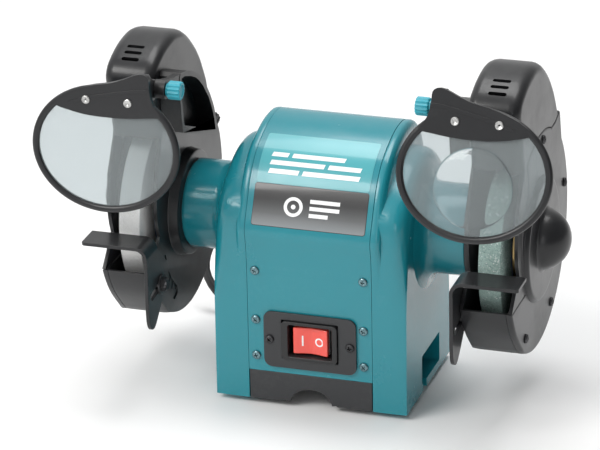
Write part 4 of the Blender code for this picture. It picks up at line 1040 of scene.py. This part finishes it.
def make_rotor():
    end = 160.0
    shaft = [(-end, 0), (-end, 5.0), (-end + 1.2, BORE)]
    level = -end + 2.0
    thread = []
    while level < -144.0:
        thread += [(level, BORE), (level + 0.5, BORE - 0.55), (level + 1.0, BORE)]
        level += 1.25
    shaft += thread + [(-104, BORE), (-104, 7.5)]
    shaft += [(-along, radius) for along, radius in reversed(shaft)]
    settle("shaft_turned", turned(shaft), STEEL, "rotor", "shaft", edge=0.0)
    inner = [(107, 0.2 + BORE), (124.7, 0.2 + BORE), (124.7, 31), (124.2, 32.2), (123, 32.6),
             (120.6, 32.4), (119.6, 31.6), (118.9, 26.0), (118.5, 14), (117.5, 10.4),
             (116, 8.8), (107.5, 8.8), (107, 8.3)]
    settle_pair("inner_flange_{}_turned", turned(inner, closed=True), STEEL, "inner_flange_{}",
                "rotor")
    radius = 68.0
    wheel = [(125, 0.2 + BORE), (141, 0.2 + BORE), (141, radius - 1.0), (140.7, radius - 0.3),
             (140.0, radius), (126.0, radius), (125.3, radius - 0.3), (125, radius - 1.0)]
    settle_pair("grinding_wheel_{}_body", turned(wheel, steps=180, closed=True), GREEN_GRIT,
                "grinding_wheel_{}", "rotor", WHITE_GRIT)
    for side, sign in SIDES.items():
        for number, x in enumerate((124.85, 141.0), 1):
            card = [(x, BORE + 0.3), (x + 0.16, BORE + 0.3), (x + 0.16, 38.5), (x, 38.5)]
            mesh = turned(card, closed=True)
            settle(f"card_washer_{side}_{number}", mirrored(mesh) if sign < 0 else mesh, BLOTTER,
                   "rotor")
    outer = [(141.3, BORE + 0.2), (146, BORE + 0.2), (146, 15.0), (145.2, 17.0), (143.6, 22.0),
             (143.3, 25.0), (144.0, 30.0), (144.4, 33.5), (144.0, 35.4), (142.8, 36), (141.3, 36)]
    settle_pair("outer_flange_{}_pressed", turned(outer, closed=True), ZINC, "outer_flange_{}",
                "rotor", STEEL)
    dome = turned([(140.0, 0.0), (140.0, 30.0), (153.2, 13.2), (155.5, 9.6), (155.5, 0.0)])
    nut = shaped(slab(hexagon(11.2), 146.3, 155.5),
                 [("keep", dome), ("cut", rod(140, 160, BORE + 0.1))])
    settle_pair("wheel_nut_{}_hex", nut, STEEL, "wheel_nut_{}", "rotor", edge=0.3, segments=2)
    for node in ("rotor_core", "stator_core", "bearing_outer_left", "bearing_outer_right",
                 "bearing_inner_left", "bearing_inner_right"):
        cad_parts[node].data.materials[0] = STEEL
    for node in ("winding_left", "winding_right"):
        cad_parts[node].data.materials[0] = COPPER
    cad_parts["capacitor"].data.materials[0] = BLACK


# ------------------------------------------------------------------------------------- guards

GUARD_IN = 114.0
GUARD_OUT = 149.3
HOOD = [(-49.0, 66.0), (-50.6, 75.0), (-53.0, 86.0), (-56.2, 98.0), (-59.0, 107.0),
        (-60.0, 113.0), (-57.5, 119.5), (-51.0, 125.5), (-36.5, 131.3), (-22.0, 134.0),
        (-9.0, 134.2), (6.0, 130.5), (17.0, 124.6), (27.0, 117.0), (37.0, 107.4), (45.0, 97.5),
        (52.0, 86.0), (57.5, 76.0)]
POCKET = [(-43.0, -71.5), (-57.0, -57.5), (-67.5, -45.0), (-76.0, -30.0), (-77.0, -27.0)]
RIM = 82.5
BOLT = (-66.0, -38.0)
GUARD_EDGE = smooth_line(HOOD, 44) + arc((0, 0), (RIM, RIM), 40, -116, 48) + \
    smooth_line(POCKET, 10)
HOOD_SLOTS = [(-38.0, 132.0, 16.0), (-44.3, 129.4, 22.0), (-50.6, 126.8, 28.0)]


def guard_outline(front, base, rounding):
    amounts = [base + rounding * max(0.12, min(1.0, (p[1] - 20.0) / 45.0)) for p in GUARD_EDGE]
    return inset(GUARD_EDGE, amounts) + front


def cover_outline(grow):
    line = smooth_line([(-40.0, -27.0), (-45.0, -14.0), (-49.0, 0.0), (-50.0, 18.0),
                        (-46.0, 33.0), (-36.0, 44.0), (-33.0, 56.0), (-37.0, 70.0)], 26)
    line += arc((0, 0), (79.0, 79.0), 115, 66, 20) + [(42.0, 72.5), (50.0, 74.6)]
    line = inset(line, -grow)
    if grow:
        line[0] = (line[0][0], -26.7)
        return line + [(66.0, 75.5), (90.0, 60.0), (95.0, 0.0), (90.0, -60.0), (40.0, -95.0),
                       (0.0, -95.0), (-60.0, -80.0), (-90.0, -40.0), (-90.0, -26.7)]
    line += [(58.0, 75.2)] + arc((0, 0), (RIM + 0.3, RIM + 0.3), 40, -114, 48)
    return line + smooth_line(POCKET, 10)


def make_guards():
    front = smooth_line([(-56.0, -6.0), (-59.5, 4.0), (-61.0, 17.0), (-58.0, 40.0)], 12)
    outside = [(x, guard_outline(front, 0.0, amount)) for x, amount in
               ((GUARD_IN, 6.6), (114.3, 5.0), (115.1, 3.3), (116.6, 1.7), (118.6, 0.6),
                (121.5, 0.0), (143.5, 0.0), (146.6, 0.6), (148.8, 1.8), (150.4, 3.4),
                (151.4, 5.4), (151.8, 7.4))]
    opening = [(-110.0, -27.0 + 93.0 * i / 11) for i in range(12)]
    inside = []
    for x, amount in ((116.5, 7.0), (117.4, 4.2), (119.4, 1.6), (122.0, 0.0), (142.6, 0.0),
                      (145.6, 1.6), (147.8, 4.2), (149.2, 7.0)):
        outline = guard_outline(opening, 2.5, amount)
        outline[0] = (outline[0][0], 66.0)
        outline[len(GUARD_EDGE) - 1] = (outline[len(GUARD_EDGE) - 1][0], -27.0)
        inside.append((x, outline))
    boss = [(106.3, 0.0), (106.3, 37.6), (107.0, 38.5), (113.2, 39.4), (114.6, 40.2), (115.4, 40.6),
            (115.4, 0.0)]
    recess = smooth_line([(-30.0, -66.0), (-48.0, -54.0), (-55.0, -40.0), (-52.0, -26.0),
                          (-46.0, -24.0), (-43.0, -34.0), (-36.0, -46.0), (-26.0, -56.0),
                          (-24.0, -63.0), (-30.0, -66.0)], 48)[:-1]
    steps = [("cut", loft(inside)),
             ("cut", slab(cover_outline(0.3), GUARD_OUT - 2.0, 160.0)),
             ("fuse", turned(boss)), ("cut", rod(100, 120, 30.8)),
             ("cut", slab(recess, 110.0, 114.9)),
             ("cut", rod(100, 118, 3.3, centre=(0, *BOLT)))]
    for y, z, tilt in HOOD_SLOTS:
        slot = slab(rounded_rectangle((-6.5, -1.6), (6.5, 1.6), 1.5), -9, 9, "z")
        place = Matrix.Translation((134.0, y, z)) @ Matrix.Rotation(math.radians(tilt), 4, "X")
        slot.transform(place)
        steps.append(("cut", slot))
    guard = shaped(loft(outside), steps, "MANIFOLD")
    settle_pair("guard_{}_shell", guard, CHARCOAL, "guard_{}", edge=0.5, crease=40)
    for number in range(4):
        angle = math.radians(232 + number * 7.5)
        spot = Vector((0.0, 58.0 * math.cos(angle), 58.0 * math.sin(angle)))
        rib = block((114.3, -7.5, -0.9), (115.6, 7.5, 0.9), 0.35, 2)
        rib.transform(Matrix.Translation(spot) @ Matrix.Rotation(angle, 4, "X"))
        settle_pair("recess_rib_{}_" + str(number + 1), rib, CHARCOAL)


def make_guard_covers():
    """The removable outer side: a stepped dish with a small dome over the shaft's end."""
    low = GUARD_OUT - 1.7
    high = low + 4.4
    outline = cover_outline(0.0)
    sheet = loft([(low, outline), (high - 1.6, outline), (high - 0.6, inset(outline, 0.5, True)),
                  (high - 0.1, inset(outline, 1.3, True)), (high, inset(outline, 2.2, True))])
    dish = [(low + 1.0, 0.0), (low + 1.0, 46.2), (high - 0.2, 46.2), (high + 0.6, 46.0),
            (high + 1.5, 45.4), (high + 3.0, 44.4), (high + 3.5, 43.4), (high + 3.6, 42.0),
            (high + 3.6, 25.0), (high + 4.0, 23.6), (high + 4.8, 22.6)]
    dish += arc((high + 0.5, 0.0), (22.3, 22.7), 76, 0, 20)
    hollow = [(low - 3.0, 0.0), (low - 3.0, 43.0), (high + 0.9, 43.0), (high + 1.2, 42.0),
              (high + 1.2, 20.3)] + arc((high + 0.5, 0.0), (19.9, 20.3), 80, 0, 12)
    mesh = shaped(sheet, [("fuse", turned(dish)), ("cut", turned(hollow))], "MANIFOLD")
    settle_pair("guard_cover_{}_shell", mesh, CHARCOAL, "guard_cover_{}", edge=0.4, crease=42)
    head = cross_head(3.4, 1.9)
    for number, turn in enumerate((84, 12, -62, -122), 1):
        angle = math.radians(turn)
        spot = (high + 0.1, 72.5 * math.cos(angle), 72.5 * math.sin(angle))
        face_out = Matrix.Rotation(math.radians(90), 4, "Z")
        mesh = moved(head, Matrix.Translation(spot) @ face_out @ Matrix.Rotation(turn, 4, "Y"))
        settle_pair("cover_side_screw_{}_" + str(number), mesh, DARK_STEEL, edge=0.1, segments=2)


# ------------------------------------------------------------------------------------- rests


def make_tool_rests():
    inner, thick, bend = 111.0, 2.6, 9.0
    corner = (inner + bend, -bend)
    section = [(160.5, 0.0)] + arc(corner, (bend, bend), 90, 180, 18) + \
        [(inner, -72.0), (inner + thick, -72.0)] + \
        arc(corner, (bend - thick, bend - thick), 180, 90, 18) + [(160.5, -thick)]
    trim = smooth_line([(-70.4, -9.0), (-64.0, -15.5), (-55.5, -22.5), (-49.5, -29.0),
                        (-49.6, -36.5), (-58.0, -45.5), (-74.0, -61.0), (-81.0, -65.9),
                        (-86.6, -65.2), (-90.6, -60.0), (-92.2, -50.0), (-92.4, -30.0),
                        (-92.6, -12.0)], 60)
    trim = [(-70.4, 10.0)] + trim + [(-95.0, -9.0), (-95.0, -90.0), (-20.0, -90.0), (-20.0, 10.0)]
    slope = math.radians(8)
    slot = [(BOLT[0] + a * math.cos(slope) - b * math.sin(slope),
             BOLT[1] + a * math.sin(slope) + b * math.cos(slope))
            for a, b in rounded_rectangle((-21.0, -3.2), (5.2, 3.2), 3.1, 9)]
    corner_cut = [(164.0, -96.0), (156.0, -96.0), (164.0, -88.0)]
    mesh = shaped(slab(section, -93.0, -45.0, "y"),
                  [("cut", slab(trim, 100, 120.0)),
                   ("cut", block((119.5, -70.4, -10), (170, -30, 10))),
                   ("cut", slab(slot, 100, 120)), ("cut", slab(corner_cut, -9, 9, "z"))])
    settle_pair("tool_rest_{}_bracket", mesh, CHARCOAL, "tool_rest_{}", "rest_{}", edge=0.55)
    washer = turned([(109.5, 3.0), (110.7, 3.0), (110.7, 7.4), (110.5, 7.6), (109.7, 7.6),
                     (109.5, 7.4)], centre=(0, *BOLT), steps=64, closed=True)
    settle_pair("rest_washer_{}", washer, DARK_STEEL)
    dome = turned([(118.0, 0.0), (118.0, 12.0), (106.9, 5.0), (105.6, 3.6), (105.6, 0.0)],
                  centre=(0, *BOLT))
    shank = rod(109.0, 118.5, 2.9, centre=(0, *BOLT))
    head = shaped(slab(hexagon(5.4, BOLT), 105.6, 109.5), [("keep", dome), ("fuse", shank)])
    settle_pair("rest_bolt_{}_head", head, DARK_STEEL, "rest_bolt_{}", edge=0.25, segments=2)


# ------------------------------------------------------------------------------------- shields

HINGE_Y = -80.0
LUG_X = 107.3
SHIELD_UP, SHIELD_OUT = 41.9, 17.5
SHIELD_SIZE = (55.0, 46.8)
THUMB_PLACE = Matrix.Translation((106.0, 32.0, 47.0)) @ Matrix.Rotation(math.radians(14), 4, "X")
SHIELDS = {"right": (133.5, 123.5, 17.0), "left": (135.5, 117.5, 4.0)}


def on_shield(mesh, side):
    """Lay a mesh, drawn round the middle of a shield with its front at -y, on that shield."""
    middle_x, level, lean = SHIELDS[side]
    turn = Matrix.Rotation(math.radians(-lean), 4, "X")
    middle = Vector((middle_x, HINGE_Y, level)) + turn @ Vector((0.0, -SHIELD_OUT, -SHIELD_UP))
    mesh.transform(Matrix.Translation(middle) @ turn)
    return mesh


def settle_side(name, mesh, side, material, body, **options):
    settle(name.format(side), mirrored(mesh) if side == "left" else mesh, material,
           body.format(side), **options)


def shield_loop(shrink, count=96):
    return arc((0, 0), (SHIELD_SIZE[0] - shrink, SHIELD_SIZE[1] - shrink), 0,
               360 - 360 / count, count)


def make_shield(side):
    middle_x = SHIELDS[side][0]
    ring = tube([(x, 0.0, z) for x, z in shield_loop(2.7)], 2.7, 20, cyclic=True)
    panel = smooth_line([(-42.5, 27.0), (-34.0, 26.2), (-20.0, 24.5), (-4.0, 23.8), (12.0, 24.3),
                         (26.0, 26.6), (37.5, 30.5), (31.0, 37.5), (20.0, 42.6), (8.0, 46.4),
                         (-4.0, 48.8), (-14.0, 52.3), (-22.0, 55.8), (-28.0, 57.2),
                         (-32.6, 54.5), (-33.4, 46.0), (-35.5, 36.5), (-42.5, 27.0)], 90)[:-1]
    lug = smooth_line([(1.5, 36.0), (-1.6, 38.0), (-1.8, 48.0), (-0.8, 55.5), (3.0, 56.4),
                       (8.0, 52.0), (14.5, 48.6), (19.0, 48.2), (23.2, 45.2), (24.0, 41.0),
                       (21.8, 36.6), (16.0, 35.0), (8.0, 34.6), (1.5, 36.0)], 60)[:-1]
    lug_middle = LUG_X - middle_x
    plate = slab(panel[::-1], -2.4, 1.6, "y")
    ear = slab(lug[::-1], lug_middle - 3.1, lug_middle + 3.1)
    seat = slab(shield_loop(4.4)[::-1], -0.9, 0.9, "y")
    hole = rod(-60, -5, 2.8, centre=(0, SHIELD_OUT, SHIELD_UP), steps=32)
    mesh = shaped(ring, [("fuse", plate), ("fuse", ear), ("cut", seat), ("cut", hole)],
                  "MANIFOLD")
    settle_side("shield_frame_{}_moulding", on_shield(mesh, side), side, CHARCOAL, "shield_{}",
                replaces="shield_frame_" + side, edge=0.45, crease=38)
    swage = slab(smooth_line([(-34.0, 44.0), (-24.0, 43.4), (-8.0, 40.2), (10.0, 36.4),
                              (24.0, 32.2), (26.0, 33.4), (11.0, 38.6), (-7.0, 42.6),
                              (-23.0, 45.8), (-33.0, 46.4), (-34.0, 44.0)], 50)[:-1], -2.9, -2.2,
                 "y")
    settle_side("shield_swage_{}", on_shield(swage, side), side, CHARCOAL, "shield_{}", edge=0.25)
    lens = slab(shield_loop(4.8)[::-1], -0.6, 0.6, "y")
    if side == "right":
        crown = [(0.0, 0.0), (0.0, 28.0)]
        crown += [(-0.4 - 4.8 * math.cos(math.radians(a)), 28.0 * math.sin(math.radians(a)))
                  for a in range(84, 3, -6)] + [(-5.2, 0.0)]
        lens = shaped(lens, [("fuse", turned(crown, "y", (0.0, 0.0, -9.0)))])
    settle_side("shield_lens_{}_sheet", on_shield(lens, side), side, CLEAR, "shield_{}",
                replaces="shield_lens_" + side, crease=25)
    for number, across in enumerate((118.0 - middle_x, 149.0 - middle_x), 1):
        rivet = turned([(-1.0, 0.0), (-2.4, 0.0), (-3.0, 0.9), (-3.2, 1.6), (-3.4, 2.0),
                        (-3.5, 2.5), (-3.2, 2.95), (-2.3, 3.1), (-1.0, 3.1)][::-1], "y",
                       (across, 0.0, 35.5), 40)
        settle_side("shield_rivet_{}_" + str(number), on_shield(rivet, side), side, STEEL,
                    "shield_{}")


def make_bracket(side):
    level = SHIELDS[side][1]
    outline = [(-43.0, 71.0), (-45.4, 84.0), (-47.0, 100.0), (-46.4, 114.0), (-44.0, 116.6),
               (-36.0, 115.0), (-28.0, 112.6), (-20.0, 109.5), (-11.0, 104.9), (-3.0, 99.5),
               (4.0, 93.3), (10.0, 86.5), (15.4, 80.0), (20.0, 73.0), (24.0, 66.0), (27.0, 58.0),
               (29.4, 50.0), (31.0, 42.0)]
    hollow = [(-40.0, 75.5), (-42.2, 88.0), (-43.5, 100.0), (-43.0, 112.0), (-36.5, 111.5),
              (-21.8, 106.3), (-12.8, 102.0), (-5.5, 96.8), (1.6, 90.6), (7.2, 84.2),
              (12.6, 78.0), (16.8, 71.3), (20.6, 64.6), (23.6, 57.0), (26.2, 47.5)]
    arm = [(HINGE_Y, level - 6.5), (-44.0, 102.0), (-44.0, 116.0), (-60.0, level + 1.0),
           (HINGE_Y, level + 6.5)]
    hole = rod(-14.0, 4.0, 2.6, "y", steps=24)
    hole.transform(THUMB_PLACE)
    mesh = shaped(slab(outline, 98.5, 113.7),
                  [("cut", slab(hollow, 90.0, 111.0)), ("fuse", slab(arm, 98.8, 103.9)),
                   ("fuse", rod(96.2, 103.9, 6.7, centre=(0, HINGE_Y, level))),
                   ("cut", rod(90, 109, 2.8, centre=(0, HINGE_Y, level))), ("cut", hole)])
    settle_side("shield_bracket_{}_casting", mesh, side, BLACK, "machine",
                replaces="shield_bracket_" + side, edge=0.5)


def fluted(radius, depth, count, low, high, around):
    """A round grip with even flutes, along x through a centre in y and z."""
    outline = []
    for i in range(count * 6):
        angle = math.tau * i / (count * 6)
        dip = depth * (0.5 - 0.5 * math.cos(count * angle)) ** 0.7
        outline.append((around[0] + (radius - dip) * math.cos(angle),
                        around[1] + (radius - dip) * math.sin(angle)))
    inner = [(around[0] + (y - around[0]) * 0.9, around[1] + (z - around[1]) * 0.9)
             for y, z in outline]
    return loft([(low, inner), (low + 0.8, outline), (high - 0.8, outline), (high, inner)])


def make_knob(side):
    level = SHIELDS[side][1]
    around = (HINGE_Y, level)
    grip = fluted(6.7, 0.85, 14, 85.0, 94.6, around)
    dimple = turned([(80.0, 0.0), (80.0, 4.4), (85.0, 4.4), (85.7, 3.8), (85.7, 0.0)],
                    centre=(0, *around), steps=48)
    collar = rod(94.0, 95.8, 4.8, centre=(0, *around))
    mesh = shaped(grip, [("cut", dimple), ("fuse", collar)])
    settle_side("shield_knob_{}_grip", mesh, side, KNOB, "knob_{}",
                replaces="shield_knob_" + side, edge=0.2, segments=2)
    stem = [(95.8, 0.0), (95.8, 2.3)]
    point = 96.4
    while point < 110.0:
        stem += [(point, 2.35), (point + 0.35, 1.95), (point + 0.7, 2.35)]
        point += 0.9
    stem += [(111.4, 2.1), (111.8, 1.6), (111.8, 0.0)]
    settle_side("shield_knob_{}_stem", turned(stem, centre=(0, *around), steps=40), side, STEEL,
                "knob_{}")
    mesh = shaped(slab(hexagon(4.9, around), 110.5, 113.2),
                  [("cut", rod(105, 118, 2.35, centre=(0, *around)))])
    settle_side("shield_knob_{}_nut", mesh, side, STEEL, "shield_{}", edge=0.2, segments=2)


def make_thumbscrews():
    grip = fluted(5.2, 0.7, 12, 5.0, 12.8, (0.0, 0.0))
    grip.transform(Matrix.Rotation(math.radians(90), 4, "Z"))
    stem = turned([(-2.2, 0.0), (-2.2, 2.2), (4.4, 2.2), (4.6, 3.1), (5.3, 3.4), (5.3, 0.0)], "y")
    mesh = shaped(grip, [("fuse", stem)])
    mesh.transform(THUMB_PLACE)
    settle_pair("thumbscrew_{}_grip", mesh, BLACK, "thumbscrew_{}", "thumbscrew_{}", edge=0.2,
                segments=2)


make_motor_cover()
make_end_housings()
make_base_pan()
make_feet()
make_front_screws()
make_panels()
make_switch()
make_rotor()
make_guards()
make_guard_covers()
make_tool_rests()
for shield_side in SHIELDS:
    make_shield(shield_side)
    make_bracket(shield_side)
    make_knob(shield_side)
make_thumbscrews()

# ------------------------------------------------------------------------------------- studio


def make_floor():
    material, board, shader = start_material("studio_floor", Roughness=0.55)
    cloud = board.texture("ShaderNodeTexNoise", Scale=2.0, Detail=2.0)
    board.join(board.mix(cloud["Fac"], (0.90, 0.90, 0.90), (0.93, 0.93, 0.93)),
               shader.inputs["Base Color"])
    edit = bmesh.new()
    bmesh.ops.create_grid(edit, x_segments=2, y_segments=2, size=6.0)
    mesh = from_bmesh(edit)
    mesh.materials.append(material)
    floor = bpy.data.objects.new("studio_floor", mesh)
    bpy.context.scene.collection.objects.link(floor)


def area_light(name, place, aim, size, power, shade):
    light = bpy.data.lights.new(name, "AREA")
    light.shape = "RECTANGLE"
    light.size, light.size_y = size
    light.energy = power
    light.color = shade
    obj = bpy.data.objects.new(name, light)
    obj.location = place
    direction = Vector(aim) - Vector(place)
    obj.rotation_euler = direction.to_track_quat("-Z", "Y").to_euler()
    bpy.context.scene.collection.objects.link(obj)


def make_lights():
    """A bright studio whose right-hand side is darker, and three soft boxes."""
    world = bpy.data.worlds.new("studio_air")
    world.use_nodes = True
    board = Board(world.node_tree)
    parts = board.add("ShaderNodeSeparateXYZ")
    board.join(board.add("ShaderNodeTexCoord").outputs["Generated"], parts.inputs[0])
    across = board.ramp(parts.outputs["X"], [(0.05, 1.0), (0.7, 0.2)])
    background = world.node_tree.nodes["Background"]
    board.join(across, background.inputs["Color"])
    background.inputs["Strength"].default_value = 0.75
    bpy.context.scene.world = world
    bpy.context.scene.view_settings.view_transform = "Standard"
    aim = (0.0, 0.0, 0.12)
    area_light("key_softbox", (-1.0, -1.3, 1.6), aim, (1.1, 0.8), 25.0, (1.0, 0.99, 0.97))
    area_light("fill_softbox", (0.9, -1.8, 0.7), aim, (0.5, 1.0), 2.5, (0.97, 0.98, 1.0))
    area_light("top_softbox", (0.1, 0.5, 1.8), aim, (1.4, 0.8), 19.0, (1.0, 1.0, 1.0))


make_floor()
make_lights()
